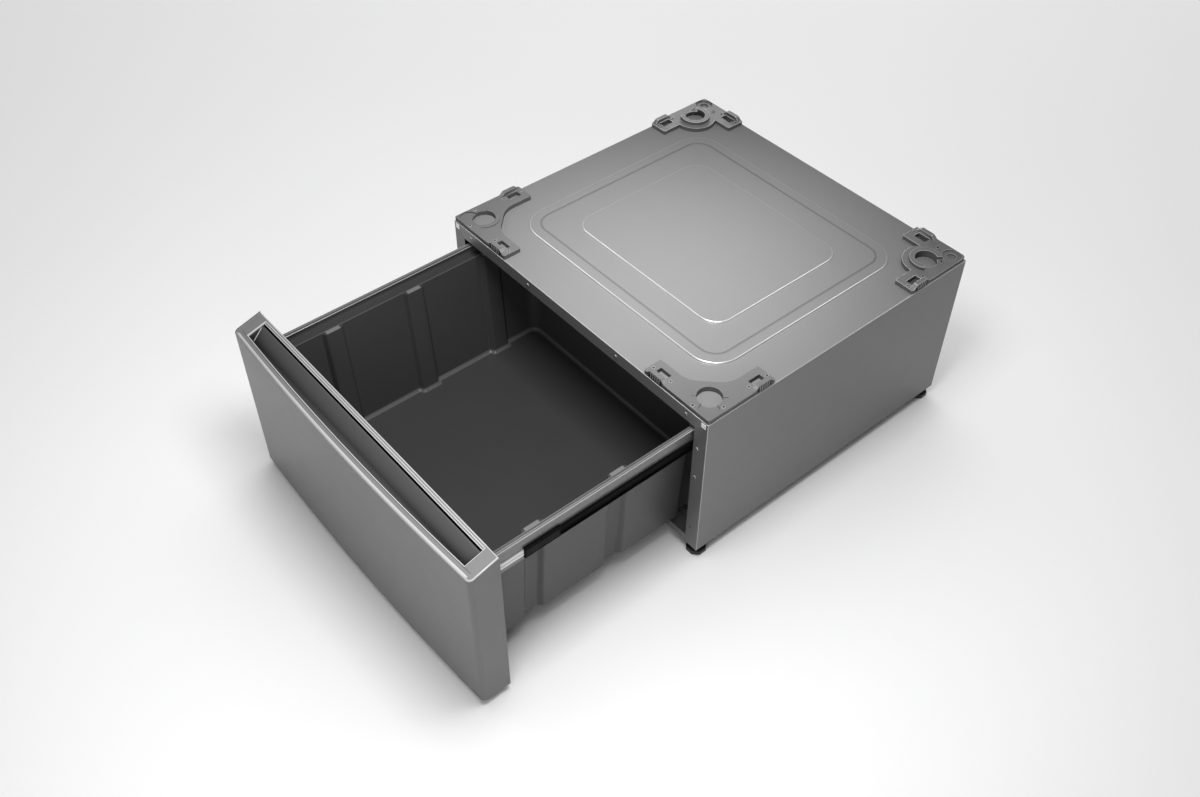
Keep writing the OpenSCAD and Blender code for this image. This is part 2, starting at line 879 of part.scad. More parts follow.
// Round part of the rear plate, kept inside the cabinet edge
module rear_bulge(r) {
    intersection() {
        translate([rear_socket_a, rear_socket_b]) circle(r);
        translate([ret_edge, ret_edge]) square([2 * r + ring_wall, rear_socket_b + r]);
    }
}

// Raised ring with its gap towards the side of the cabinet
module rear_ring() {
    outer = rear_socket_r + ring_wall;
    half = ring_gap_angle / 2;
    translate([rear_socket_a, rear_socket_b, retainer_z])
        difference() {
            cylinder(r = outer, h = rear_ring_h);
            translate([0, 0, -over])
                linear_extrude(rear_ring_h + 2 * over)
                    polygon([
                        [0, 0], [-outer / cos(half), -outer * tan(half) / cos(half)],
                        [-2 * outer, 0], [-outer / cos(half), outer * tan(half) / cos(half)]
                    ]);
        }
}

module retainer_screws() {
    color(ZINC)
    for (side = [-1, 1], rear = [false, true])
        at_corner(side, rear)
            for (p = fixing_places(rear))
                translate([p.x, p.y, retainer_z]) {
                    cylinder(r = head_r, h = head_h);
                    translate([0, 0, -ret_t - shank_l]) cylinder(r = shank_r, h = ret_t + shank_l);
                }
}

// Screws and clips of the frame

// Screw standing at the origin, with its head in front and its shank to the back
module sheet_screw() {
    rotate([-90, 0, 0]) {
        translate([0, 0, -head_h]) cylinder(r = head_r, h = head_h);
        cylinder(r = shank_r, h = shank_l);
    }
}

module frame_screws() {
    color(ZINC)
    in_cabinet()
        for (side = [-1, 1]) {
            for (x = lip_screw_x)
                translate([side * x, 0, top_z - lip_h / 2]) sheet_screw();
            for (drop = upright_screw_drops)
                translate([side * (half_w - upright_screw_a), 0, top_z - drop]) sheet_screw();
            for (a = sill_screw_a)
                translate([side * (half_w - a), sheet_t, frame_z + sill_h / 2]) sheet_screw();
        }
}

module back_screws() {
    color(ZINC)
    in_cabinet()
        for (side = [-1, 1])
            on_side(side) back_screw_places() mirror([0, 1, 0]) sheet_screw();
}

module corner_clips() {
    color(ZINC)
    in_cabinet()
        for (side = [-1, 1])
            on_side(side)
                box([half_w - clip_a - clip_size, -clip_proud, top_z - clip_drop - clip_size],
                    [half_w - clip_a, sheet_t, top_z - clip_drop]);
}

// Runners

module cabinet_runner(side) {
    low = runner_z - race_z;
    high = runner_z + race_z;
    color(BLACK)
    in_cabinet()
        on_side(side)
            translate([0, cab_runner_y, 0])
                difference() {
                    box([cab_race_x, 0, low - runner_t], [bracket_x, cab_runner_l, high + runner_t]);
                    box([cab_race_x - over, -over, low], [cab_web_x, cab_runner_l + over, high]);
                }
}

module runner_bracket(side, rear) {
    y = rear ? cab_d - slide_bracket_back : slide_bracket_y;
    low = runner_z - bracket_h;
    wall_x = half_w - sheet_t;
    color(ZINC)
    in_cabinet()
        on_side(side)
            translate([0, y, 0])
                difference() {
                    box([bracket_x, 0, low], [wall_x, slide_bracket_l, runner_z + bracket_h]);
                    box([bracket_x + slide_bracket_t, -over, low + slide_bracket_t],
                        [wall_x - slide_bracket_t, slide_bracket_l + over, top_z]);
                }
}

module runner_end_stops() {
    stop_z = runner_h / 2 - runner_t;
    stop_y = cab_runner_y + cab_runner_l - stop_l;
    color(BLACK)
    in_cabinet()
        for (side = [-1, 1])
            on_side(side)
                box([web_x + runner_t, stop_y, runner_z - stop_z],
                    [cab_web_x, stop_y + stop_l, runner_z + stop_z]);
}

module drawer_runner(side) {
    half = runner_h / 2;
    color(BLACK)
    in_drawer()
        on_side(side)
            translate([0, runner_y, runner_z])
                difference() {
                    box([web_x, 0, -half], [runner_x, runner_l, half]);
                    box([web_x + runner_t, -over, runner_t - half],
                        [runner_x + over, runner_l + over, half - runner_t]);
                }
}

// Bright bracket between the drawer front and the black runner
module front_bracket(side) {
    high = runner_z + runner_h / 2 - runner_t;
    low = high - front_bracket_h;
    color(ZINC)
    in_drawer()
        on_side(side) {
            box([web_x, 0, low], [web_x + front_bracket_t, runner_y, high]);
            box([tub_x + front_bracket_t, 0, low], [web_x, front_bracket_t, high]);
        }
}

module runner_end_caps() {
    half = runner_h / 2;
    color(BLACK)
    in_drawer()
        for (side = [-1, 1])
            on_side(side)
                translate([0, runner_y, runner_z]) {
                    box([web_x, 0, half], [runner_x, end_cap_l, half + end_cap_rise]);
                    box([web_x + runner_t, 0, runner_t - half],
                        [runner_x, end_cap_l, half - runner_t]);
                }
}

// Places of the balls in one side, from the cage's front end
module ball_places() {
    first = (cage_l - (ball_count - 1) * ball_pitch) / 2;
    for (i = [0 : ball_count - 1], up = [-1, 1])
        translate([ball_x, cage_y + first + i * ball_pitch, runner_z + up * ball_z]) children();
}

module ball_cage(side) {
    half = ball_z + cage_t / 2;
    color(ZINC)
    in_cabinet()
        on_side(side)
            difference() {
                box([cage_in_x, cage_y, runner_z - half],
                    [cage_out_x, cage_y + cage_l, runner_z + half]);
                box([cage_in_x - over, cage_y - over, runner_z - half + cage_t],
                    [cage_web_x, cage_y + cage_l + over, runner_z + half - cage_t]);
                ball_places()
                    translate([0, 0, -cage_t])
                        cylinder(r = ball_r + cage_hole_gap, h = 2 * cage_t);
            }
}

module bearing_balls(side) {
    color(ZINC)
    in_cabinet()
        on_side(side)
            ball_places() sphere(ball_r, $fn = 32);
}

// Drawer

// Tapered box with round corners, shrunk by its wall on every side
module tub_block(inset, floor_z, head) {
    w = 2 * (tub_x - inset);
    d = tub_d - 2 * inset;
    low_w = w - 2 * tub_draft;
    low_d = d - tub_draft - tub_front_draft;
    hull() {
        translate([0, tub_d / 2, rim_z])
            linear_extrude(head, $fn = 32) rounded(w, d, tub_r);
        translate([0, (tub_d - tub_draft + tub_front_draft) / 2, floor_z])
            linear_extrude(tub_t / 2, $fn = 32) rounded(low_w, low_d, tub_r);
    }
}

// Groove prism on the right wall, leaning with the wall
module flute(wider, head) {
    lean_z = tub_floor_z - tub_t;
    translate([tub_x, flute_y, rim_z])
        rotate([0, draft_angle, 0])
            translate([0, 0, -tub_h - 2 * tub_t])
                linear_extrude(tub_h + 2 * tub_t + head)
                    polygon([
                        [tub_t, -flute_w / 2 - wider], [tub_t, flute_w / 2 + wider],
                        [-flute_depth - wider, flute_floor_w / 2 + wider],
                        [-flute_depth - wider, -flute_floor_w / 2 - wider]
                    ]);
}

module flutes(wider, head) {
    for (side = [-1, 1], i = [0 : flute_count - 1])
        on_side(side) translate([0, i * flute_pitch, 0]) flute(wider, head);
}

// Flange and raised bead round the tub, without the opening
module tub_flange() {
    translate([0, 0, flange_z - flange_t])
        linear_extrude(flange_t)
            translate([-flange_x, 0]) square([2 * flange_x, flange_back]);
    bead = bead_w - tub_t;
    translate([0, tub_d / 2, flange_z])
        linear_extrude(bead_h)
            rounded(2 * (tub_x + bead), tub_d, tub_r + bead);
}

module drawer_tub() {
    color(TUB_GREY)
    in_drawer()
        difference() {
            union() {
                difference() {
                    tub_block(0, tub_floor_z, tub_t / 2);
                    flutes(0, -bead_h - flange_t);
                    box([-half_w, -over, rim_z], [half_w, cab_d, top_z]);
                }
                tub_flange();
            }
            difference() {
                tub_block(tub_t, tub_floor_z + tub_t, tub_t);
                flutes(tub_t, -bead_h);
            }
            drawer_screw_shanks();
        }
}

module tub_rail(side) {
    low = runner_z - runner_h / 2 - tub_rail_foot;
    high = top_z - tub_rail_drop;
    ledge_z = flange_z - flange_t;
    color(GREY_PAINT)
    in_drawer()
        on_side(side) {
            box([tub_rail_x, front_bracket_t, low], [web_x, flange_back + tub_rail_t, high]);
            box([web_x, front_bracket_t, high - hem_h],
                [web_x + hem_t, flange_back + tub_rail_t, high]);
            box([tub_rail_x - ledge_w, front_bracket_t, ledge_z - ledge_t],
                [tub_rail_x, flange_back - ledge_w, ledge_z]);
        }
}

module rear_tub_rail() {
    ledge_z = flange_z - flange_t;
    low = runner_z - runner_h / 2 - tub_rail_foot;
    color(GREY_PAINT)
    in_drawer() {
        box([-tub_rail_x, flange_back, low],
            [tub_rail_x, flange_back + tub_rail_t, top_z - tub_rail_drop]);
        box([-tub_rail_x, flange_back - ledge_w, ledge_z - ledge_t],
            [tub_rail_x, flange_back, ledge_z]);
    }
}

// Plan of the drawer front: bowed face, round corners and straight ends
module panel_plan(inset) {
    r = bow_r - inset;
    corner = panel_r - inset;
    half = panel_w / 2 - inset;
    cx = half - corner;
    cy = bow_y - sqrt((r - corner) * (r - corner) - cx * cx);
    tangent_x = cx * r / (r - corner);
    intersection() {
        translate([0, bow_y]) circle(r, $fn = 256);
        translate([-tangent_x, -panel_end_d - panel_bow - over])
            square([2 * tangent_x, panel_end_d + panel_bow + over]);
    }
    for (x = [-cx, cx]) translate([x, cy]) circle(corner);
    translate([-half, cy]) square([2 * half, -cy]);
}

// Everything above the sloping top of the drawer front, moved down by drop
module above_slope(drop) {
    translate([0, 0, panel_z])
        rotate([panel_slope, 0, 0])
            translate([-slope_rise, -slope_rise, -drop])
                cube([2 * slope_rise, 2 * slope_rise, slope_rise]);
}

// Everything under the same slope moved down by drop
module below_slope(drop) {
    above_slope(drop + slope_rise);
}

module front_shell() {
    color(GREY_PAINT)
    in_drawer()
        difference() {
            translate([0, 0, panel_floor])
                linear_extrude(panel_h) panel_plan(0);
            above_slope(0);
            difference() {
                translate([0, over, panel_floor + panel_t])
                    linear_extrude(panel_h) {
                        translate([0, -over]) panel_plan(panel_t);
                        translate([panel_t - panel_w / 2, -over - cap_t])
                            square([panel_w - 2 * panel_t, cap_t + 2 * over]);
                    }
                lip_ring();
            }
        }
}

// Inward lip under the cap
module lip_ring() {
    difference() {
        translate([0, 0, panel_floor])
            linear_extrude(panel_h)
                difference() {
                    panel_plan(0);
                    translate([0, over]) panel_plan(panel_t + panel_lip);
                    translate([-panel_w, -cap_t - panel_t]) square([2 * panel_w, cap_t + 2 * panel_t]);
                    translate([-pocket_x, -pocket_front]) square([2 * pocket_x, pocket_front]);
                }
        above_slope(cap_t);
        below_slope(cap_t + panel_t);
    }
}

module front_backing_plate() {
    color(DARK_PAINT)
    in_drawer()
        difference() {
            box([panel_t - panel_w / 2, -panel_t, panel_floor + panel_t],
                [panel_w / 2 - panel_t, 0, panel_z]);
            above_slope(cap_t);
            drawer_screw_shanks();
        }
}

// Plan of the opening of the hand pocket
module pocket_plan() {
    half = panel_w / 2 - cap_end;
    intersection() {
        translate([-half, -panel_end_d - panel_bow])
            square([2 * half, panel_end_d + panel_bow - cap_back]);
        translate([0, bow_y]) circle(bow_r - cap_front, $fn = 256);
    }
}

module handle_cap() {
    color(CAP_GREY)
    in_drawer()
        difference() {
            translate([0, 0, panel_floor])
                linear_extrude(panel_h)
                    difference() {
                        panel_plan(panel_t + cap_gap);
                        pocket_plan();
                    }
            above_slope(0);
            below_slope(cap_t);
        }
}

// Section of the hand pocket: a ramp from the back that runs into a round scoop
module pocket_section(wall) {
    centre = [-scoop_y, -scoop_drop];
    edge = [wall - cap_back, 0];
    r = scoop_r + wall;
    first = atan2(edge.y - centre.y, edge.x - centre.x) - acos(r / norm(edge - centre));
    turn = (-180 - first) / scoop_steps;
    arc = [for (i = [0 : scoop_steps]) centre + r * [cos(first + i * turn), sin(first + i * turn)]];
    polygon(concat([[edge.x, scoop_r], edge], arc, [[centre.x - r, scoop_r]]));
}

// Length of the pocket section, extruded along X about the middle
module pocket_body(wall) {
    half = panel_w / 2 - cap_end + wall;
    translate([-half, 0, panel_z])
        rotate([90, 0, 90])
            linear_extrude(2 * half) pocket_section(wall);
}

module hand_pocket() {
    color(TUB_GREY)
    in_drawer()
        difference() {
            pocket_body(pocket_t);
            pocket_body(0);
            above_slope(cap_t);
        }
}

module closing_bumpers() {
    color(BLACK)
    in_drawer()
        for (side = [-1, 1], z = bumper_z)
            translate([side * (panel_w / 2 - bumper_in), 0, z])
                rotate([-90, 0, 0])
                    cylinder(r = bumper_r, h = bumper_t);
}

// Heads on the leaning front wall of the tub
module drawer_screw_places() {
    lean = tub_front_draft * (bead_h + flange_w + head_r) / (tub_h - 2 * tub_t);
    for (side = [-1, 1], share = drawer_screw_shares)
        translate([side * share * tub_x, tub_t + lean, flange_z - flange_w]) children();
}

module drawer_screw_shanks() {
    drawer_screw_places()
        translate([0, over, 0])
            rotate([90, 0, 0])
                cylinder(r = shank_r, h = shank_l + over);
}

module drawer_screws() {
    color(ZINC)
    in_drawer()
        drawer_screw_places() mirror([0, 1, 0]) sheet_screw();
}

// Feet

module foot_pad(side, rear) {
    color(BLACK)
    at_corner(side, rear)
        translate([foot_a, foot_b, 0])
            rotate([0, 0, 180 / 8])
                cylinder(r = foot_r, h = foot_h, $fn = 8);
}

module foot_screw(side, rear) {
    color(ZINC)
    at_corner(side, rear)
        translate([foot_a, foot_b, foot_h]) cylinder(r = stem_r, h = stem_top - foot_h);
}

top_panel();
side_panel(-1);  // left_side_panel
side_panel(1);  // right_side_panel
back_panel();
front_top_rail();
front_sill();
rear_sill();
corner_post(-1, false);  // front_left_post
corner_post(1, false);  // front_right_post
corner_post(-1, true);  // rear_left_post
corner_post(1, true);  // rear_right_post
foot_bracket(-1, false);  // front_left_foot_bracket
foot_bracket(1, false);  // front_right_foot_bracket
foot_bracket(-1, true);  // rear_left_foot_bracket
foot_bracket(1, true);  // rear_right_foot_bracket
foot_lock_nuts();
front_retainer(-1);  // front_left_retainer
front_retainer(1);  // front_right_retainer
rear_retainer(-1);  // rear_left_retainer
rear_retainer(1);  // rear_right_retainer
retainer_screws();
frame_screws();
back_screws();
corner_clips();
cabinet_runner(-1);  // left_cabinet_runner
cabinet_runner(1);  // right_cabinet_runner
runner_bracket(-1, false);  // front_left_runner_bracket
runner_bracket(1, false);  // front_right_runner_bracket
runner_bracket(-1, true);  // rear_left_runner_bracket
runner_bracket(1, true);  // rear_right_runner_bracket
runner_end_stops();
drawer_tub();
tub_rail(-1);  // left_tub_rail
tub_rail(1);  // right_tub_rail
rear_tub_rail();
drawer_runner(-1);  // left_drawer_runner
drawer_runner(1);  // right_drawer_runner
front_bracket(-1);  // left_front_bracket
front_bracket(1);  // right_front_bracket
runner_end_caps();
front_shell();
front_backing_plate();
handle_cap();
hand_pocket();
closing_bumpers();
drawer_screws();
ball_cage(-1);  // left_ball_cage
ball_cage(1);  // right_ball_cage
bearing_balls(-1);  // left_bearing_balls
bearing_balls(1);  // right_bearing_balls
foot_pad(-1, false);  // front_left_foot_pad
foot_pad(1, false);  // front_right_foot_pad
foot_pad(-1, true);  // rear_left_foot_pad
foot_pad(1, true);  // rear_right_foot_pad
foot_screw(-1, false);  // front_left_foot_screw
foot_screw(1, false);  // front_right_foot_screw
foot_screw(-1, true);  // rear_left_foot_screw
foot_screw(1, true);  // rear_right_foot_screw
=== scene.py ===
import json
import math

import bmesh
import bpy
from mathutils import Euler, Matrix, Vector

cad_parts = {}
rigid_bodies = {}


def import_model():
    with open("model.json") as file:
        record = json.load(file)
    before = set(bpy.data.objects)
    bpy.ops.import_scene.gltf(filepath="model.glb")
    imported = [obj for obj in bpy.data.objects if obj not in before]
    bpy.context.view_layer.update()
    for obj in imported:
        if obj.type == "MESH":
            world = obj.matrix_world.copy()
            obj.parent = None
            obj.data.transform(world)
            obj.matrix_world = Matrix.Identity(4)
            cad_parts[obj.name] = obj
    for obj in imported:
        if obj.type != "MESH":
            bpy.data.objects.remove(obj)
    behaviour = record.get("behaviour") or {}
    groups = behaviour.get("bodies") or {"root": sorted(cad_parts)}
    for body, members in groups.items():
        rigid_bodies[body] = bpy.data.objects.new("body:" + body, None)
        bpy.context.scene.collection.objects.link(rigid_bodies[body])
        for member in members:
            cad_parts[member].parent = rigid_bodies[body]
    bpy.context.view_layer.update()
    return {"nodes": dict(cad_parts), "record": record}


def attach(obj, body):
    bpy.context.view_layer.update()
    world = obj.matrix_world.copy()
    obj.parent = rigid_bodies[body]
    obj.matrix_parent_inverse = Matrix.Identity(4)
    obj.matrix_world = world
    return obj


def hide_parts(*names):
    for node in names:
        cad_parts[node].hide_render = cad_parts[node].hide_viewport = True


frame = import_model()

MM = 0.001
NEAR = 0.05 * MM
scene = bpy.context.scene
BODY = {n: b for b, group in frame["record"]["behaviour"]["bodies"].items() for n in group}
SLOT = {s["node"]: s["material_slot"] for s in frame["record"]["subparts"]}
CORNERS = ["front_left", "front_right", "rear_left", "rear_right"]


# Camera and studio

CABINET = bpy.data.collections.new("cabinet")
STAGE = bpy.data.collections.new("stage")
TOP = bpy.data.collections.new("top")
WALLS = bpy.data.collections.new("walls")

CAMERA_PLACE = (1.232862, -1.063374, 1.736157)
CAMERA_TURN = (44.47107, -0.25188, 49.96649)
LENS_SHARE = 1222.934 / 1200
SENSOR = 36.0
NEAR_CLIP = 0.05
WORLD_LIGHT = 0.12
WORLD_SEEN = 0.78
TOP_MIDDLE = (0, 0.2, 0.34)


def set_camera():
    data = bpy.data.cameras.new("camera")
    data.sensor_width = SENSOR
    data.lens = SENSOR * LENS_SHARE
    data.clip_start = NEAR_CLIP
    camera = bpy.data.objects.new("camera", data)
    camera.location = CAMERA_PLACE
    camera.rotation_euler = Euler([math.radians(a) for a in CAMERA_TURN])
    scene.collection.objects.link(camera)
    scene.camera = camera


def place_light(data, place, aim, reach):
    """Hangs a lamp at a place, aimed at a spot. With a reach it lights that group alone."""
    lamp = bpy.data.objects.new(data.name, data)
    lamp.location = place
    lamp.rotation_euler = (Vector(aim) - Vector(place)).to_track_quat("-Z", "Y").to_euler()
    scene.collection.objects.link(lamp)
    if reach is not None:
        lamp.light_linking.receiver_collection = reach


def softbox(name, place, aim, size, power, reach=None):
    """Square lamp, its size in metres and its power in watts."""
    data = bpy.data.lights.new(name, "AREA")
    data.size = size
    data.energy = power
    place_light(data, place, aim, reach)


def spotlight(name, place, aim, angle, radius, power, reach=None):
    """Spot lamp, its cone in degrees, its radius in metres and its power in watts."""
    data = bpy.data.lights.new(name, "SPOT")
    data.spot_size = math.radians(angle)
    data.spot_blend = 1.0
    data.shadow_soft_size = radius
    data.energy = power
    place_light(data, place, aim, reach)


def set_backdrop():
    """A dim world for light, which the camera sees as a pale grey backdrop."""
    world = bpy.data.worlds.new("studio")
    world.use_nodes = True
    tree = world.node_tree
    dim = tree.nodes["Background"]
    dim.inputs["Color"].default_value = (1, 1, 1, 1)
    dim.inputs["Strength"].default_value = WORLD_LIGHT
    seen = tree.nodes.new("ShaderNodeBackground")
    seen.inputs["Color"].default_value = (WORLD_SEEN, WORLD_SEEN, WORLD_SEEN, 1)
    path = tree.nodes.new("ShaderNodeLightPath")
    blend = tree.nodes.new("ShaderNodeMixShader")
    tree.links.new(path.outputs["Is Camera Ray"], blend.inputs[0])
    tree.links.new(dim.outputs[0], blend.inputs[1])
    tree.links.new(seen.outputs[0], blend.inputs[2])
    tree.links.new(blend.outputs[0], tree.nodes["World Output"].inputs["Surface"])
    scene.world = world
    scene.view_settings.view_transform = "Standard"
    scene.view_settings.look = "None"


def set_lamps():
    spotlight("overhead_spot", (0.1, -0.1, 2.2), (0, 0.12, 0.34), 33.5, 0.25, 515, CABINET)
    softbox("side_softbox", (0.9, -0.36, 0.5), (0.343, -0.14, 0.2), 0.35, 2.7, CABINET)
    softbox("front_softbox", (0.75, -1.0, 0.8), (0.28, -0.5, 0.25), 0.5, 2.3)
    softbox("back_fill_box", (-1.8, 2.0, 0.8), (0, 0.3, 0.15), 1.0, 30, WALLS)
    softbox("left_edge_box", (-1.6, -0.6, 1.8), TOP_MIDDLE, 0.7, 14, TOP)
    softbox("back_edge_box", (0.5, 1.7, 2.1), TOP_MIDDLE, 0.7, 14, TOP)
    softbox("tub_softbox", (0.35, -0.35, 1.5), (0.0, -0.4, 0.1), 0.5, 12.2)
    softbox("floor_softbox", (-3, 3, 6), (-3, 3, 0), 12, 450, STAGE)
    softbox("far_floor_softbox", (-2.4, 2.6, 3.0), (-2.4, 2.6, 0), 4.0, 34, STAGE)


# Materials: each reads the piece's own object coordinates

class Finish:
    """A node material with one principled shader, and short ways to add patterns to it."""

    def __init__(self, name, **sockets):
        self.material = bpy.data.materials.new(name)
        self.material.use_nodes = True
        self.tree = self.material.node_tree
        self.shader = self.tree.nodes["Principled BSDF"]
        for key, value in sockets.items():
            self.shader.inputs[key.replace("_", " ")].default_value = value
        self.where = self.node("ShaderNodeTexCoord").outputs["Object"]
        self.bumps = None

    def node(self, kind, **values):
        made = self.tree.nodes.new(kind)
        for key, value in values.items():
            if hasattr(made, key):
                setattr(made, key, value)
            else:
                made.inputs[key.replace("_", " ")].default_value = value
        return made

    def link(self, a, b):
        self.tree.links.new(a, b)

    def noise(self, scale, detail=3.0, stretch=(1, 1, 1)):
        place = self.node("ShaderNodeMapping")
        place.inputs["Scale"].default_value = stretch
        self.link(self.where, place.inputs["Vector"])
        made = self.node("ShaderNodeTexNoise", Scale=scale, Detail=detail)
        self.link(place.outputs["Vector"], made.inputs["Vector"])
        return made.outputs["Fac"]

    def ramp(self, value, low, high):
        made = self.node("ShaderNodeMapRange")
        made.inputs["To Min"].default_value = low
        made.inputs["To Max"].default_value = high
        self.link(value, made.inputs["Value"])
        return made.outputs["Result"]

    def colour(self, value, low, high):
        """Mixes two colours by a value. The mix node's colours are inputs 6 and 7, output 2."""
        made = self.node("ShaderNodeMix")
        made.data_type = "RGBA"
        made.inputs[6].default_value = (*low, 1)
        made.inputs[7].default_value = (*high, 1)
        self.link(value, made.inputs[0])
        self.link(made.outputs[2], self.shader.inputs["Base Color"])

    def roughness(self, value, low, high):
        self.link(self.ramp(value, low, high), self.shader.inputs["Roughness"])

    def bump(self, value, height, strength=1.0):
        made = self.node("ShaderNodeBump", Distance=height, Strength=strength)
        self.link(value, made.inputs["Height"])
        if self.bumps:
            self.link(self.bumps, made.inputs["Normal"])
        self.bumps = made.outputs["Normal"]
        self.link(self.bumps, self.shader.inputs["Normal"])


def grey(level, warm=0.0):
    return (level * (1 + warm), level, level * (1 - warm))


def metallic_paint(name, level, metal, rough, coat=0.25, coat_rough=0.22):
    f = Finish(name, Metallic=metal, Coat_Weight=coat, Coat_Roughness=coat_rough)
    flake = f.noise(5200, 1.0)
    f.colour(flake, grey(level * 0.86), grey(level * 1.14))
    f.roughness(f.noise(26, 4.0), rough - 0.03, rough + 0.03)
    f.bump(f.noise(420, 2.0), 0.00004, 0.5)
    f.bump(flake, 0.00001, 0.35)
    return f.material


def black_steel(name):
    f = Finish(name, Specular_IOR_Level=0.02)
    f.colour(f.noise(300, 3.0), grey(0.002), grey(0.008))
    f.roughness(f.noise(160, 3.0), 0.36, 0.5)
    f.bump(f.noise(900, 2.0), 0.00002, 0.4)
    return f.material


def moulded_plastic(name, level, rough, grain):
    f = Finish(name, Specular_IOR_Level=0.45)
    f.colour(f.noise(9, 3.0), grey(level * 0.93), grey(level * 1.07))
    f.roughness(f.noise(140, 3.0), rough - 0.04, rough + 0.05)
    f.bump(f.noise(2600, 2.0), grain, 0.6)
    return f.material


def ao_shaded_plastic(name, low, high, reach):
    """Moulded plastic whose colour darkens softly by ambient occlusion in deep hollows: painted
    shade.
    """
    f = Finish(name, Specular_IOR_Level=0.35)
    hollow = f.node("ShaderNodeAmbientOcclusion", Distance=reach)
    f.colour(hollow.outputs["AO"], grey(low), grey(high))
    f.roughness(f.noise(140, 3.0), 0.4, 0.5)
    f.bump(f.noise(2600, 2.0), 0.00004, 0.6)
    return f.material


def zinc_plate(name):
    f = Finish(name, Metallic=1.0)
    f.colour(f.noise(60, 4.0), grey(0.52, 0.01), grey(0.68, -0.01))
    f.roughness(f.noise(900, 2.0, (1, 0.05, 1)), 0.24, 0.42)
    f.bump(f.noise(2400, 2.0, (1, 0.04, 1)), 0.00002, 0.4)
    return f.material


MATERIALS = {
    "graphite_paint": metallic_paint("graphite_paint", 0.1375, 0.35, 0.42),
    # Darker copy of graphite_paint for the side panels, which stand in more shade: painted shade
    "shaded_side_paint": metallic_paint("shaded_side_paint", 0.116, 0.35, 0.42),
    # Glossier, lighter copy of the paint for the top's pressed shoulders: the gloss is a real finish,
    # the lighter colour a painted highlight
    "pressed_edge_highlight": metallic_paint("pressed_edge_highlight_paint", 0.32, 0.55, 0.34, 1.0, 0.19),
    "rail_paint": metallic_paint("rail_paint", 0.185, 0.35, 0.36),
    # Lighter, glossier copy of the paint for rounded outer folds: the lighter colour is a painted
    # highlight
    "fold_edge_highlight": metallic_paint("fold_edge_highlight_paint", 0.27, 0.35, 0.3, 0.6, 0.16),
    # Darker copy of the paint for the floor of the top's groove: painted shade
    "groove_shade_paint": metallic_paint("groove_shade_paint", 0.095, 0.35, 0.42),
    # Near-white copy of the rail paint for the rails' upper edges: painted highlight
    "rail_hem_highlight": metallic_paint("rail_hem_highlight_paint", 0.7, 0.3, 0.3, 0.6, 0.16),
    "dark_paint": metallic_paint("dark_paint", 0.06, 0.35, 0.5),
    "grey_plastic": moulded_plastic("retainer_plastic", 0.067, 0.5, 0.00005),
    # Darker copy of the retainer plastic for its upright faces: painted shade
    "retainer_wall_shade": moulded_plastic("retainer_wall_shade_plastic", 0.052, 0.6, 0.00006),
    # Near-black plastic for the pads in the rear clip windows: painted shade
    "window_shade_pad": moulded_plastic("window_shade_pad_plastic", 0.03, 0.6, 0.00006),
    # Lighter copy of the retainer plastic for the rear retainers' rounded upper edges: painted
    # highlight
    "retainer_edge_highlight": moulded_plastic("retainer_edge_highlight_plastic", 0.27, 0.4, 0.00004),
    # Lighter copy of the retainer plastic for hole rims, grip ribs and socket screw heads: painted
    # highlight
    "retainer_rim_highlight": moulded_plastic("retainer_rim_highlight_plastic", 0.19, 0.4, 0.00003),
    "charcoal_plastic": moulded_plastic("tub_plastic", 0.078, 0.42, 0.00004),
    # Lighter, glossier copy of the tub plastic for the inner floor fillet and top rim: the lighter
    # colour is a painted highlight
    "tub_edge_highlight": moulded_plastic("tub_edge_highlight_plastic", 0.17, 0.24, 0.00003),
    # Lighter copy of the tub plastic for the tabs on the flute tops: painted highlight
    "lit_tub_tab": moulded_plastic("lit_tub_tab_plastic", 0.3, 0.3, 0.00003),
    # Pocket plastic whose colour darkens by ambient occlusion in the scoop: painted shade
    "pocket_plastic": ao_shaded_plastic("pocket_plastic", 0.002, 0.145, 0.11),
    "light_trim": moulded_plastic("cap_plastic", 0.315, 0.36, 0.00002),
    # Near-white copy of the shell paint for its up-facing top edge: painted highlight
    "shell_edge_highlight": metallic_paint("shell_edge_highlight_paint", 0.5, 0.35, 0.3, 0.6, 0.16),
    # Near-white copy of the cap plastic for its rounded edges and beads: painted highlight
    "trim_edge_highlight": moulded_plastic("cap_edge_highlight_plastic", 0.8, 0.22, 0.00001),
    "black_plastic": moulded_plastic("foot_plastic", 0.015, 0.45, 0.00005),
    "black_rubber": moulded_plastic("stop_rubber", 0.012, 0.7, 0.00003),
    "black_steel": black_steel("runner_black"),
    "zinc_steel": zinc_plate("zinc_plate"),
    "screw_zinc": metallic_paint("screw_zinc", 0.22, 0.6, 0.42),
    "bright_zinc": metallic_paint("bright_zinc", 0.8, 0.3, 0.3, 0.5),
    # Black for the grip fields and screw recesses, standing for the shade inside them: painted shade
    "recess": black_steel("recess_shadow"),
}


# Mesh helpers: radii, sizes and distances are given in mm, places in metres

FOLD_LONG = 40
FOLD_WIDE = 4
SHARP = 28
MERGE = 0.002
FLAT_WITHIN = 0.1
FACES_UP = 0.9
UPRIGHT_FACE = 0.2


def merged_copy(node):
    """The solid of a node as one closed mesh with whole flat faces."""
    bm = bmesh.new()
    bm.from_mesh(frame["nodes"][node].data)
    bmesh.ops.remove_doubles(bm, verts=bm.verts, dist=MERGE * MM)
    bmesh.ops.dissolve_limit(bm, angle_limit=math.radians(FLAT_WITHIN), verts=bm.verts,
                             edges=bm.edges)
    return bm


def box_of(node):
    """Lowest and highest corner of a node."""
    points = [v.co for v in frame["nodes"][node].data.vertices]
    return [Vector([pick(p[i] for p in points) for i in range(3)]) for pick in (min, max)]


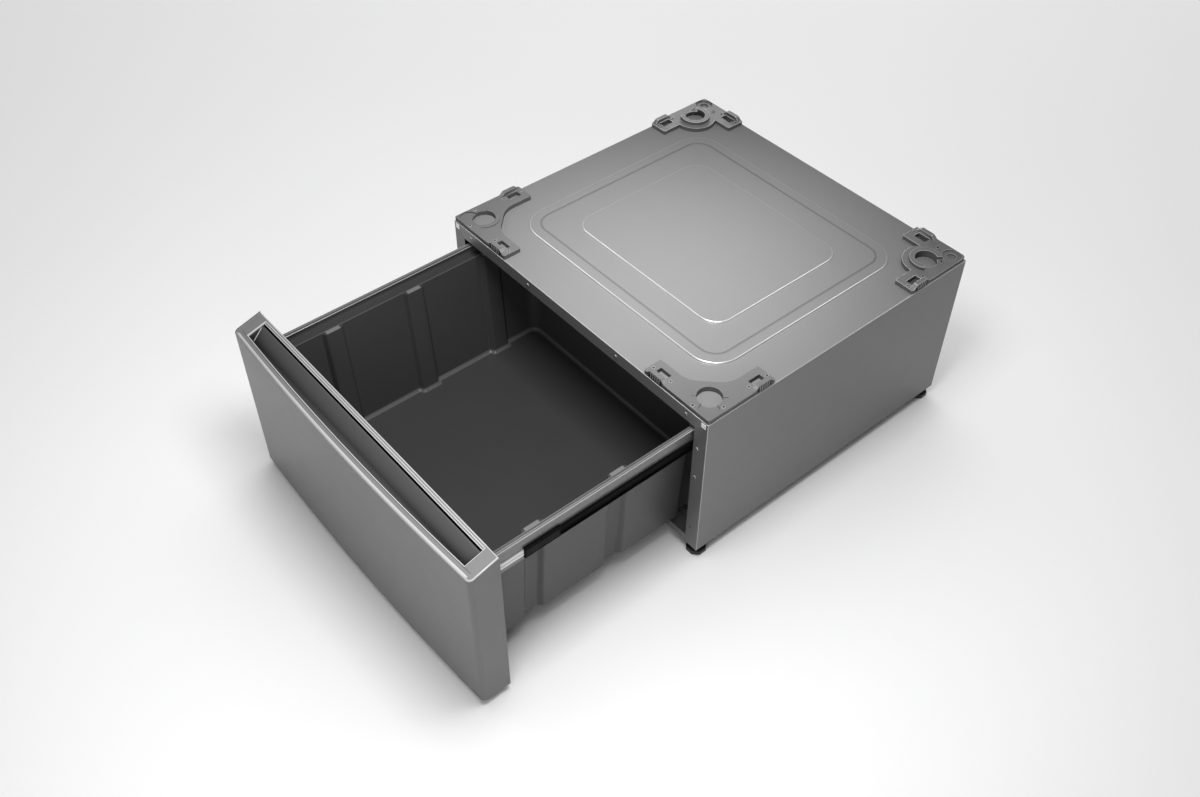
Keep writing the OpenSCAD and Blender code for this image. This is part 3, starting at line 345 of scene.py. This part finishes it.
def outer_face(node):
    """Side of the object that a node is on, -1 or 1, and the x of its outward face."""
    low, high = box_of(node)
    side = 1 if high.x > 0 else -1
    return side, (high.x if side > 0 else low.x)


def mean_width(face, edge):
    return face.calc_area() / max(edge.calc_length(), 1e-9)


def sharp_edges(bm, degrees=SHARP):
    limit = math.radians(degrees)
    return [e for e in bm.edges if len(e.link_faces) == 2 and e.calc_face_angle(0) > limit]


def bevel(bm, edges, radius, segments, clamp=True):
    """Rounds edges and returns the new faces."""
    made = bmesh.ops.bevel(bm, geom=edges, offset=radius * MM, offset_type="OFFSET",
                           segments=segments, profile=0.5, affect="EDGES",
                           clamp_overlap=clamp, material=-1)
    return made["faces"]


def round_off(bm, fold=1.2, fine=0.25):
    """Rounds long folds between wide faces well, and every other sharp edge a little."""
    def is_fold(e):
        return (e.is_convex and e.calc_length() > FOLD_LONG * MM
                and min(mean_width(f, e) for f in e.link_faces) > FOLD_WIDE * MM)

    folds = [e for e in sharp_edges(bm) if is_fold(e)]
    if folds:
        bevel(bm, folds, fold, 3)
    rest = sharp_edges(bm)
    if rest:
        bevel(bm, rest, fine, 1)


def paint(faces, tint):
    """Gives faces the material with this number on their piece."""
    for f in faces:
        f.material_index = tint


def tint_faces(bm, tint, wanted):
    paint([f for f in bm.faces if wanted(f)], tint)


def soften(bm, radius, wanted, segments=3, degrees=20, tint=0, clamp=True):
    """Rounds those sharp edges that the test picks, and tints the new faces if asked."""
    picked = [e for e in sharp_edges(bm, degrees) if wanted(e)]
    if not picked:
        return
    new = bevel(bm, picked, radius, segments, clamp)
    if tint:
        paint(new, tint)


def level(edge, height):
    """Whether an edge lies at a height."""
    return all(abs(v.co.z - height) < NEAR for v in edge.verts)


def upright(edge):
    a, b = (v.co for v in edge.verts)
    return (a.xy - b.xy).length < NEAR


def rise(edge):
    """Difference in height between an edge's two ends."""
    a, b = edge.verts
    return abs(a.co.z - b.co.z)


def wall_height(edge):
    """Height of the tallest upright face at an edge."""
    walls = [f for f in edge.link_faces if abs(f.normal.z) < UPRIGHT_FACE]
    return max([max(v.co.z for v in f.verts) - min(v.co.z for v in f.verts) for f in walls] or [0])


def block(bm, low, high):
    """Closed box between two corners."""
    low, high = Vector(low), Vector(high)
    scale = Matrix.Diagonal((*(high - low), 1))
    made = bmesh.ops.create_cube(bm, size=1, matrix=Matrix.Translation((low + high) / 2) @ scale)
    return made["verts"]


def settle(bm, before, place, axis):
    """Cleans what was built since before, and moves it from the origin to its place."""
    made = [v for v in bm.verts if v not in before]
    bmesh.ops.remove_doubles(bm, verts=made, dist=0.001 * MM)
    made = [v for v in bm.verts if v not in before]
    bmesh.ops.recalc_face_normals(bm, faces=list({f for v in made for f in v.link_faces}))
    turn = Vector((0, 0, 1)).rotation_difference(Vector(axis)).to_matrix().to_4x4()
    bmesh.ops.transform(bm, matrix=Matrix.Translation(place) @ turn, verts=made)


def turned(bm, profile, place, axis=(0, 0, 1), steps=32):
    """Closed body turned from (radius, height) points, standing at a place."""
    before = set(bm.verts)
    spots = [bm.verts.new((r * MM, 0, h * MM)) for r, h in profile]
    chain = [bm.edges.new(pair) for pair in zip(spots, spots[1:])]
    bmesh.ops.spin(bm, geom=spots + chain, cent=(0, 0, 0), axis=(0, 0, 1), angle=math.tau,
                   steps=steps, use_merge=True, use_duplicate=False)
    settle(bm, before, place, axis)


def rod(bm, radius, length, place, axis, steps):
    """Straight round rod."""
    turned(bm, [(0, 0), (radius, 0), (radius, length), (0, length)], place, axis, steps)


def add_piece(name, bm, body, slot, *replaced, material=None, more=(), smooth=32):
    """Turns a mesh into a finished piece that rides on a body."""
    mesh = bpy.data.meshes.new(name)
    bm.to_mesh(mesh)
    bm.free()
    mesh.polygons.foreach_set("use_smooth", [True] * len(mesh.polygons))
    mesh.set_sharp_from_angle(angle=math.radians(smooth))
    for finish in (material or slot, *more):
        mesh.materials.append(MATERIALS[finish])
    piece = bpy.data.objects.new(name, mesh)
    scene.collection.objects.link(piece)
    if body == "cabinet":
        light_group(piece)
    even = piece.modifiers.new("even_shading", "WEIGHTED_NORMAL")
    even.keep_sharp = True
    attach(piece, body)
    if replaced:
        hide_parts(*replaced)
    return piece


def light_group(piece):
    """Puts a cabinet piece in reach of its lamps. The top and the front parts get no back fill."""
    CABINET.objects.link(piece)
    if "top_" not in piece.name and not piece.name.startswith("front_"):
        WALLS.objects.link(piece)


def dressed(node, material=None, **edges):
    """The node's own form with rounded edges."""
    bm = merged_copy(node)
    round_off(bm, **edges)
    add_piece(node + "_finished", bm, BODY[node], SLOT[node], node, material=material)


# Floor

FLOOR_HALF = 5.0


def lay_floor():
    bm = bmesh.new()
    bmesh.ops.create_grid(bm, x_segments=1, y_segments=1, size=FLOOR_HALF)
    mesh = bpy.data.meshes.new("floor")
    bm.to_mesh(mesh)
    bm.free()
    f = Finish("pale_floor", Roughness=0.7)
    f.colour(f.noise(2, 2.0), grey(0.93), grey(0.95))
    mesh.materials.append(f.material)
    floor = bpy.data.objects.new("floor", mesh)
    scene.collection.objects.link(floor)
    STAGE.objects.link(floor)


# Top panel and side panels

STEP_H = 3.0
CENTRE_H = 2.5
STEP_WALL = 1.4
FOOT_WALL = STEP_WALL - 1.0
LIP_WALL = 5.0
SHOULDER_R = 2.4
SHOULDER_FOOT_R = 0.35
TOP_EDGE_R = 1.4
TOP_EDGE_LONG = 20.0
GROOVE_DEPTH = (0.2, 0.8)
GROOVE_AREA = 0.02
PANEL_EDGE_R = 1.6
PANEL_EDGE_LONG = 100.0


def top_panel():
    bm = merged_copy("top_panel")
    high = box_of("top_panel")[1]
    sheet_top = high.z - (STEP_H + CENTRE_H) * MM

    def shoulder(e):
        return (not level(e, sheet_top) and e.is_convex and rise(e) < NEAR
                and STEP_WALL < wall_height(e) / MM < LIP_WALL)

    def foot_of_step(e):
        return (not e.is_convex and FOOT_WALL < wall_height(e) / MM < LIP_WALL
                and min(v.co.z for v in e.verts) > sheet_top - NEAR)

    def rim(e):
        return (level(e, sheet_top) and e.is_convex and e.calc_length() > TOP_EDGE_LONG * MM
                and any(abs(abs(f.normal.x) + abs(f.normal.y) - 1) < 0.01 for f in e.link_faces))

    def groove(f):
        depth = high.z - CENTRE_H * MM - f.calc_center_median().z
        return (f.normal.z > FACES_UP and f.calc_area() < GROOVE_AREA
                and GROOVE_DEPTH[0] * MM < depth < GROOVE_DEPTH[1] * MM)

    # The rounded shoulders of the pressed steps take the lighter, glossier paint: painted highlight
    soften(bm, SHOULDER_R, shoulder, 4, tint=1)
    soften(bm, SHOULDER_FOOT_R, foot_of_step, 2)
    # The top's rounded outer rim takes the lighter fold paint: painted highlight
    soften(bm, TOP_EDGE_R, rim, 3, tint=2)
    # The groove floor is painted darker: painted shade
    tint_faces(bm, 3, groove)
    round_off(bm, fold=1.4, fine=0.2)
    piece = add_piece("top_panel_pressing", bm, "cabinet", SLOT["top_panel"], "top_panel",
                      more=["pressed_edge_highlight", "fold_edge_highlight", "groove_shade_paint"])
    TOP.objects.link(piece)


def side_panel(node):
    bm = merged_copy(node)
    outer = outer_face(node)[1]

    def outer_edge(e):
        return (e.is_convex and e.calc_length() > PANEL_EDGE_LONG * MM
                and all(abs(v.co.x - outer) < 0.1 * MM for v in e.verts))

    # The long outer edges are rounded and painted lighter: painted highlight
    soften(bm, PANEL_EDGE_R, outer_edge, 3, tint=1)
    round_off(bm, fold=1.2, fine=0.2)
    # The side panels take the darker, shaded copy of the top's paint: painted shade
    add_piece(node + "_pressing", bm, "cabinet", SLOT[node], node, material="shaded_side_paint",
              more=["fold_edge_highlight"])


# Corner retainers: places are measured from the two cabinet edges at their corner

RETAINER_EDGE = 1.0
RETAINER_T = 8.5
INNER_CORNER_R = 3.0
INNER_CORNER_BEND = 80
UPPER_EDGE_FROM = 4.0
REAR_EDGE_R = 0.6
FRONT_EDGE_R = 0.7
SHADED_WALL_FACE = 0.3
FRONT_WINDOW_A = 126.5
REAR_WINDOW_A = 88.5
WINDOW_B = 125.0
WINDOW_IN = 19.0
WINDOW_HALF = (12.3, 6.8)
PAD_T = 0.5
PAD_PITCH = 4.6
PAD_RIB_HALF = (0.9, 6.0)
PAD_RIB_Z = (0.3, 1.0)
CLIP_PITCH = 20.5
CLIP_EDGE = 16.0
HOLE_RIM = [(2.1, -0.5), (2.1, 0.35), (2.5, 0.5), (3.1, 0.35), (3.3, -0.5), (2.1, -0.5)]
GRIP_STEPS = [(15.0, (3.0, 9.6)), (12.0, (9.6, 14.2))]
GRIP_FIELD_IN = (0.7, 1.4)
GRIP_RIBS = 5
GRIP_PITCH = 5.0
GRIP_RIB_HALF = 1.0
GRIP_RIB_IN = (0.2, 1.2)
GRIP_RIB_Z = (3.6, 13.6)
GRIP_RIB_R = 0.2


def from_corner(node, a, b):
    """Place at distances a and b from the side edge and the front or rear edge."""
    low, high = box_of(node)
    side, face = outer_face(node)
    back = 1 if "rear" in node else -1
    x = face + side * RETAINER_EDGE * MM
    y = (high.y if back > 0 else low.y) + back * RETAINER_EDGE * MM
    return Vector((x - side * a * MM, y - back * b * MM, low.z))


def corner_block(bm, node, a, b, z):
    """Block between two distances from each cabinet edge and two heights over the top."""
    p, q = from_corner(node, a[0], b[0]), from_corner(node, a[1], b[1])
    low = [min(p[i], q[i]) for i in range(2)]
    high = [max(p[i], q[i]) for i in range(2)]
    block(bm, (*low, p.z + z[0] * MM), (*high, p.z + z[1] * MM))


def arms(node):
    """Window middle along each arm, and whether that arm runs depthwise."""
    return [(REAR_WINDOW_A if "rear" in node else FRONT_WINDOW_A, False), (WINDOW_B, True)]


def on_arm(along, across, depthwise):
    return (across, along) if depthwise else (along, across)


def around(middle, half):
    return (middle - half, middle + half)


def retainer(node):
    bm = merged_copy(node)
    low = box_of(node)[0]
    rear = "rear" in node

    def inner_corner(e):
        return (upright(e) and not e.is_convex and e.calc_length() > (RETAINER_T - 0.5) * MM
                and wall_height(e) < (RETAINER_T + 0.5) * MM
                and e.calc_face_angle(0) < math.radians(INNER_CORNER_BEND))

    def upper_edge(e):
        return (not upright(e) and e.is_convex
                and min(v.co.z for v in e.verts) > low.z + UPPER_EDGE_FROM * MM)

    soften(bm, INNER_CORNER_R, inner_corner, 4)
    if rear:
        # The rear retainers' rounded upper edges are painted lighter: painted highlight
        soften(bm, REAR_EDGE_R, upper_edge, 3, 30, tint=2, clamp=False)
    else:
        soften(bm, FRONT_EDGE_R, upper_edge, 3, 30)
    # Upright faces of the moulding are painted darker: painted shade
    tint_faces(bm, 1, lambda f: abs(f.normal.z) < SHADED_WALL_FACE)
    piece = add_piece(node + "_moulding", bm, "cabinet", SLOT[node], node,
                      more=["retainer_wall_shade", "retainer_edge_highlight"], smooth=50)
    TOP.objects.link(piece)
    hook_ribs(node)
    hole_rims(node)
    if rear:
        window_shade_pads(node)


def hook_ribs(node):
    """Ribbed grip on the outward face of both hook lips: a black field that stands for the shade in
    the recess (painted shade), with raised ribs in the lighter plastic (painted highlight).
    """
    field, ribs = bmesh.new(), bmesh.new()
    for middle, depthwise in arms(node):
        for half, heights in GRIP_STEPS:
            a, b = on_arm(around(middle, half), GRIP_FIELD_IN, depthwise)
            corner_block(field, node, a, b, heights)
        for k in range(GRIP_RIBS):
            place = middle + (k - (GRIP_RIBS - 1) / 2) * GRIP_PITCH
            a, b = on_arm(around(place, GRIP_RIB_HALF), GRIP_RIB_IN, depthwise)
            corner_block(ribs, node, a, b, GRIP_RIB_Z)
    soften(ribs, GRIP_RIB_R, lambda e: True, 1)
    add_piece(node + "_grip_fields", field, "cabinet", SLOT[node], material="recess")
    add_piece(node + "_grip_ribs", ribs, "cabinet", SLOT[node], material="retainer_rim_highlight")


def hole_rims(node):
    """Raised rims of the small holes beside each clip window, in the lighter plastic: painted
    highlight.
    """
    bm = bmesh.new()
    for middle, depthwise in arms(node):
        for end in (-1, 1):
            a, b = on_arm(middle + end * CLIP_PITCH, CLIP_EDGE, depthwise)
            place = from_corner(node, a, b)
            place.z += RETAINER_T * MM
            turned(bm, HOLE_RIM, place, steps=24)
    add_piece(node + "_hole_rims", bm, "cabinet", SLOT[node], material="retainer_rim_highlight")


def window_shade_pads(node):
    """Dark ribbed pad on the floor of both clip windows, a dark sheet that stands for the shade
    inside them: painted shade.
    """
    bm = bmesh.new()
    half_long, half_wide = WINDOW_HALF
    rib_half_wide, rib_half_long = PAD_RIB_HALF
    for middle, depthwise in arms(node):
        a, b = on_arm(around(middle, half_long), around(WINDOW_IN, half_wide), depthwise)
        corner_block(bm, node, a, b, (0, PAD_T))
        for k in range(-2, 3):
            along = around(middle + PAD_PITCH * k, rib_half_wide)
            a, b = on_arm(along, around(WINDOW_IN, rib_half_long), depthwise)
            corner_block(bm, node, a, b, PAD_RIB_Z)
    add_piece(node + "_window_shade_pads", bm, "cabinet", SLOT[node], material="window_shade_pad")


# Screws

HEAD_R = 3.4
HEAD_EDGE_R = 0.8
HEAD_AREA_SHARE = (0.9, 1.1)
HEAD_TALL = 6.0
HEAD_SLACK = 0.2
SOCKET_R = 2.3
CROSS_LONG = 2.1
CROSS_WIDE = 0.45
RECESS_IN = 0.2
RECESS_OUT = 0.02


def head_places(node):
    """Middle and outward direction of each round screw head of a node."""
    bm = merged_copy(node)
    least, most = (share * math.pi * (HEAD_R * MM) ** 2 for share in HEAD_AREA_SHARE)
    found = []
    for f in bm.faces:
        if least < f.calc_area() < most:
            middle = f.calc_center_median()
            beyond = [v for v in bm.verts if (v.co - middle).length < HEAD_TALL * MM
                      and (v.co - middle).dot(f.normal) > HEAD_SLACK * MM]
            if not beyond:
                found.append((middle, f.normal.copy()))
    bm.free()
    return found


def screws(node):
    places = head_places(node)
    socket = node == "retainer_screws"

    def head_edge(e):
        return any((v.co - middle).length < (HEAD_R + HEAD_SLACK) * MM
                   and abs((v.co - middle).dot(normal)) < NEAR
                   for v in e.verts for middle, normal in places)

    bm = merged_copy(node)
    soften(bm, HEAD_EDGE_R, head_edge, 3)
    round_off(bm, fold=0, fine=0.1)
    # Socket screw heads take the lighter copy of the retainer plastic: painted highlight
    add_piece(node + "_finished", bm, BODY[node], SLOT[node], node,
              material="retainer_rim_highlight" if socket else "screw_zinc")
    # The black recesses on the heads stand for the shade inside the sockets: painted shade
    bm = bmesh.new()
    for place, normal in places:
        if socket:
            six_sided_recess(bm, place, normal)
        else:
            cross_recess(bm, place, normal)
    add_piece(node + "_recesses", bm, BODY[node], SLOT[node], material="recess")


def six_sided_recess(bm, place, normal):
    profile = [(0, -RECESS_IN), (SOCKET_R, -RECESS_IN), (SOCKET_R, RECESS_OUT), (0, RECESS_OUT)]
    turned(bm, profile, place, normal, 6)


def cross_recess(bm, place, normal):
    for x, y in ((CROSS_LONG, CROSS_WIDE), (CROSS_WIDE, CROSS_LONG)):
        before = set(bm.verts)
        block(bm, (-x * MM, -y * MM, -RECESS_IN * MM), (x * MM, y * MM, RECESS_OUT * MM))
        settle(bm, before, place, normal)


# Drawer tub

TUB_WALL = 3.0
TUB_FILLET = 6.0
TUB_RIM_R = 0.9
TUB_CORNER_R = 2.4
TUB_CORNER_STEEP = 0.4
TUB_CORNER_LONG = 1.5
FLUTES = [99.0, 269.0, 439.0]
TUB_TAB_L = 28.0
TUB_TAB_D = 8.0
TUB_TAB_EDGE = 25.5
TUB_TAB_DOWN = (4.5, 0.4)
TUB_TAB_CORNER_R = 2.0
TUB_TAB_EDGE_R = 0.8


def tub():
    bm = merged_copy("drawer_tub")
    low, high = box_of("drawer_tub")
    inner = low.z + TUB_WALL * MM
    # The inner floor fillet is painted lighter: painted highlight
    soften(bm, TUB_FILLET, lambda e: level(e, inner), 3, tint=1)
    soften(bm, TUB_FILLET, lambda e: level(e, low.z), 3)
    # The rounded top rim edges are painted lighter: painted highlight
    soften(bm, TUB_RIM_R, lambda e: level(e, high.z) and e.is_convex, 2, tint=1)
    soften(bm, TUB_CORNER_R, lambda e: rise(e) > TUB_CORNER_STEEP * e.calc_length()
           and e.calc_length() > TUB_CORNER_LONG * MM, 2, 30)
    round_off(bm, fold=0.9, fine=0.4)
    add_piece("drawer_tub_moulding", bm, "drawer", SLOT["drawer_tub"], "drawer_tub",
              more=["tub_edge_highlight"], smooth=40)


def tub_tabs():
    """Tab at the top of each groove of the tub's long walls, in a plastic lighter than the tub:
    painted highlight.
    """
    bm = bmesh.new()
    low, high = box_of("drawer_tub")
    bottom, top = (high.z - down * MM for down in TUB_TAB_DOWN)
    for side in (-1, 1):
        for along in FLUTES:
            y = low.y + along * MM
            inner_x = (high.x - TUB_TAB_EDGE * MM) * side
            x = sorted((inner_x, inner_x + side * TUB_TAB_D * MM))
            block(bm, (x[0], y - TUB_TAB_L / 2 * MM, bottom), (x[1], y + TUB_TAB_L / 2 * MM, top))
    soften(bm, TUB_TAB_CORNER_R, upright, 3)
    soften(bm, TUB_TAB_EDGE_R, lambda e: not upright(e), 2)
    add_piece("drawer_tub_tabs", bm, "drawer", SLOT["drawer_tub"], material="lit_tub_tab")


# Drawer front

CAP_FALL = math.tan(math.radians(16))
CAP_EDGE_R = 2.0
BOW_R = 6159.4
BOW_STEPS = 48
BEAD_SIDES = 16
RIM_HALF = 331.0
RIM_IN = 3.1
RIM_R = 2.2
RIM_SUNK = 1.4
LINE_IN = 10.6
LINE_R = 0.7
LINE_SUNK = 0.5
CAP_BEADS = [1.4, 5.2]
CAP_BEAD_R = 1.1
CAP_BEAD_SUNK = 0.3
INNER_BEAD = 7.4
INNER_BEAD_R = 1.0
INNER_BEAD_SUNK = 3.4
POCKET_WALL = 2.0
POCKET_RAMP = [(15, 9), (33.7, 28.8)]
POCKET_BEAD_R = 0.9
POCKET_BEAD_IN = 0.4


def front_shell():
    bm = merged_copy("front_shell")
    low, high = box_of("front_shell")
    middle = (low.z + high.z) / 2
    # Up-facing faces in the shell's upper half are painted lighter: painted highlight
    tint_faces(bm, 1, lambda f: f.normal.z > FACES_UP and f.calc_center_median().z > middle)
    round_off(bm, fold=1.5, fine=0.3)
    add_piece("front_shell_pressing", bm, "drawer", SLOT["front_shell"], "front_shell",
              more=["shell_edge_highlight"])


def handle_cap():
    bm = merged_copy("handle_cap")
    # Rounded edges of the cap's top faces are painted near-white: painted highlight
    soften(bm, CAP_EDGE_R, lambda e: e.is_convex
           and any(f.normal.z > FACES_UP for f in e.link_faces), 3, tint=1)
    round_off(bm, fold=0.8, fine=0.3)
    add_piece("handle_cap_moulding", bm, "drawer", SLOT["handle_cap"], "handle_cap",
              more=["trim_edge_highlight"])


def hand_pocket():
    # The hand pocket's colour darkens in its hollows: painted shade
    add_piece("hand_pocket_moulding", merged_copy("hand_pocket"), "drawer", SLOT["hand_pocket"],
              "hand_pocket", material="pocket_plastic")


def pocket_end():
    """Inside x of the hand pocket's right end."""
    return box_of("hand_pocket")[1].x - POCKET_WALL * MM


def bowed_bead(bm, inward, radius, sunk):
    """Rounded bead along the cap's bowed front edge, on its slope."""
    low, high = box_of("handle_cap")
    sweep = math.asin(RIM_HALF / BOW_R)
    spots = [bm.verts.new((radius * math.cos(a) * MM, 0, radius * math.sin(a) * MM))
             for a in (math.tau * k / BEAD_SIDES for k in range(BEAD_SIDES))]
    loop = [bm.edges.new(pair) for pair in zip(spots, spots[1:] + spots[:1])]
    disc = bmesh.ops.contextual_create(bm, geom=loop)["faces"]
    before = set(bm.verts) - set(spots)
    bmesh.ops.translate(bm, verts=spots, vec=((BOW_R - inward) * MM, 0, 0))
    bmesh.ops.rotate(bm, verts=spots, cent=(0, 0, 0),
                     matrix=Matrix.Rotation(-math.pi / 2 - sweep, 3, "Z"))
    bmesh.ops.spin(bm, geom=spots + loop + disc, cent=(0, 0, 0), axis=(0, 0, 1),
                   angle=2 * sweep, steps=BOW_STEPS, use_merge=False, use_duplicate=False)
    verts = [v for v in bm.verts if v not in before]
    bmesh.ops.recalc_face_normals(bm, faces=list({f for v in verts for f in v.link_faces}))
    fall = Matrix.Identity(4)
    fall[2][1] = CAP_FALL
    onward = Matrix.Translation((0, low.y + BOW_R * MM, 0))
    drop = Matrix.Translation((0, 0, high.z - high.y * CAP_FALL - sunk * MM))
    bmesh.ops.transform(bm, matrix=drop @ fall @ onward, verts=verts)


def cap_beads():
    """Two beads behind the hand pocket, the bowed rim in front and the bead inside its edge, all in
    near-white plastic: painted highlight.
    """
    end_x = pocket_end()
    length = 2 * end_x / MM
    back = box_of("handle_cap")[1]
    bm = bmesh.new()
    for behind in CAP_BEADS:
        height = back.z - behind * CAP_FALL * MM
        rod(bm, CAP_BEAD_R, length, (-end_x, back.y - behind * MM, height - CAP_BEAD_SUNK * MM),
            (1, 0, 0), 12)
    bowed_bead(bm, RIM_IN, RIM_R, RIM_SUNK)
    height = back.z - (INNER_BEAD * CAP_FALL + INNER_BEAD_SUNK) * MM
    rod(bm, INNER_BEAD_R, length, (-end_x, back.y - INNER_BEAD * MM, height), (1, 0, 0), 12)
    add_piece("handle_cap_beads", bm, "drawer", SLOT["handle_cap"], material="trim_edge_highlight")


def cap_shade_line():
    """Dark line between the bowed rim and the hand pocket: a dark bead that stands for the shade in
    the crease, so painted shade.
    """
    bm = bmesh.new()
    bowed_bead(bm, LINE_IN, LINE_R, LINE_SUNK)
    add_piece("handle_cap_shade_line", bm, "drawer", SLOT["handle_cap"], material="pocket_plastic")


def pocket_end_beads():
    """Bright bead down the ramp at both ends of the hand pocket, standing for the highlight on the
    fillet there: painted highlight.
    """
    end_x = pocket_end()
    back = box_of("handle_cap")[1]
    bm = bmesh.new()
    for side in (-1, 1):
        start, end = [Vector((side * (end_x - POCKET_BEAD_IN * MM), back.y - y * MM, back.z - z * MM))
                      for y, z in POCKET_RAMP]
        rod(bm, POCKET_BEAD_R, (end - start).length / MM, start, end - start, 10)
    add_piece("hand_pocket_end_beads", bm, "drawer", SLOT["hand_pocket"], material="trim_edge_highlight")


# Rails and runner ends of the drawer

RAIL_HIGHLIGHT_BAND = 0.7
RAIL_TOP_W = 10.0
RAIL_TOP_T = 2.6
RAIL_TOP_R = 0.9
RAIL_LINE = 4.6
RAIL_LINE_W = 0.9
RAIL_LINE_PROUD = 0.3
PRESSED_LINE_IN = 0.3
PRESSED_LINE_PROUD = 0.06
PRESSED_LINE_HALF = 0.6
RIDGES = [4.0, 8.5, 13.0]
RIDGE_W = 1.2
RIDGE_IN = 0.3
RIDGE_PROUD = 0.35
RIDGE_SHORT = 3.0
RIDGE_R = 0.25


def tub_rail(node):
    bm = merged_copy(node)
    high = box_of(node)[1]
    round_off(bm, fold=0.6, fine=0.3)
    # The rail's top band is painted near-white: painted highlight
    tint_faces(bm, 1, lambda f: f.calc_center_median().z > high.z - RAIL_HIGHLIGHT_BAND * MM)
    if node != "rear_tub_rail":
        rail_top(bm, node)
    add_piece(node + "_pressing", bm, "drawer", SLOT[node], node, material="rail_paint",
              more=["rail_hem_highlight"])


def rail_top(bm, node):
    """Inward strip along a side rail's upper edge, and the raised line on it; the strip's rounded
    edges and the whole line are painted near-white: painted highlight.
    """
    low, high = box_of(node)
    side, face = outer_face(node)
    x = sorted((face - side * RAIL_TOP_W * MM, face - side * MM))
    verts = block(bm, (x[0], low.y + MM, high.z - RAIL_TOP_T * MM), (x[1], high.y - MM, high.z))
    edges = list({e for v in verts for e in v.link_edges})
    paint(bevel(bm, edges, RAIL_TOP_R, 2), 1)
    x = sorted(face - side * d * MM for d in (RAIL_LINE, RAIL_LINE - RAIL_LINE_W))
    verts = block(bm, (x[0], low.y + MM, high.z - MM),
                  (x[1], high.y - MM, high.z + RAIL_LINE_PROUD * MM))
    paint([f for v in verts for f in v.link_faces], 1)


def front_bracket(node):
    """Bright bracket with a pressed line on its outward face; the line is a darker grey strip that
    stands for the shade in the groove: painted shade.
    """
    dressed(node, material="bright_zinc", fold=0.4, fine=0.2)
    low, high = box_of(node)
    side, face = outer_face(node)
    x = sorted((face - side * PRESSED_LINE_IN * MM, face + side * PRESSED_LINE_PROUD * MM))
    middle = (low.z + high.z) / 2
    bm = bmesh.new()
    block(bm, (x[0], low.y + MM, middle - PRESSED_LINE_HALF * MM),
          (x[1], high.y - MM, middle + PRESSED_LINE_HALF * MM))
    add_piece(node + "_pressed_line_shade", bm, "drawer", SLOT[node], material="rail_paint")


def runner_end_caps():
    """Black covers of the runner ends, with ridges along their outward faces."""
    dressed("runner_end_caps", material="black_steel", fold=0.8, fine=0.3)
    low, high = box_of("runner_end_caps")
    bm = bmesh.new()
    for side in (-1, 1):
        x = sorted((side * (high.x - RIDGE_IN * MM), side * (high.x + RIDGE_PROUD * MM)))
        for up in RIDGES:
            block(bm, (x[0], low.y + RIDGE_SHORT * MM, low.z + up * MM),
                  (x[1], high.y - RIDGE_SHORT * MM, low.z + (up + RIDGE_W) * MM))
    soften(bm, RIDGE_R, lambda e: True, 1)
    add_piece("runner_end_caps_ridges", bm, "drawer", SLOT["runner_end_caps"])


# Feet

THREAD_PITCH = 1.5
THREAD_DEPTH = 0.7
PAD_EDGE_R = 1.5
PAD_CORNER_R = 1.0


def foot_thread(node, body):
    """The foot's stem with a ring for each turn of its thread."""
    low, high = box_of(node)
    middle = (low + high) / 2
    stem_r = (high.x - low.x) / 2 / MM
    root_r = stem_r - THREAD_DEPTH
    height = (high.z - low.z) / MM
    turns = int((height - 1) / THREAD_PITCH)
    profile = [(0, 0)]
    for k in range(turns):
        profile += [(root_r, k * THREAD_PITCH), (stem_r, (k + 0.5) * THREAD_PITCH)]
    profile += [(root_r, turns * THREAD_PITCH), (root_r, height), (0, height)]
    bm = bmesh.new()
    turned(bm, profile, (middle.x, middle.y, low.z))
    add_piece(body + "_thread", bm, body, SLOT[node], node)


def foot_pad(node, body):
    bm = merged_copy(node)
    soften(bm, PAD_EDGE_R, lambda e: not upright(e), 3)
    soften(bm, PAD_CORNER_R, upright, 2)
    add_piece(node + "_moulding", bm, body, SLOT[node], node)


def foot(corner):
    body = corner + "_foot"
    foot_thread(body + "_screw", body)
    foot_pad(body + "_pad", body)


def dress_the_rest():
    """Every node that has no finished piece yet keeps its own form, with rounded edges."""
    done = {n for o in scene.objects for n in frame["nodes"] if o.name.startswith(n + "_")}
    for node in frame["nodes"]:
        if node not in done:
            dressed(node)


set_camera()
set_backdrop()
set_lamps()
lay_floor()
top_panel()
side_panel("left_side_panel")
side_panel("right_side_panel")
tub()
tub_tabs()
front_shell()
handle_cap()
hand_pocket()
cap_beads()
cap_shade_line()
pocket_end_beads()
for rail in ("left_tub_rail", "right_tub_rail", "rear_tub_rail"):
    tub_rail(rail)
front_bracket("left_front_bracket")
front_bracket("right_front_bracket")
runner_end_caps()
dressed("corner_clips", material="bright_zinc", fold=0, fine=0.2)
for corner in CORNERS:
    retainer(corner + "_retainer")
    foot(corner)
for group in ("retainer_screws", "frame_screws", "back_screws", "drawer_screws"):
    screws(group)
dress_the_rest()
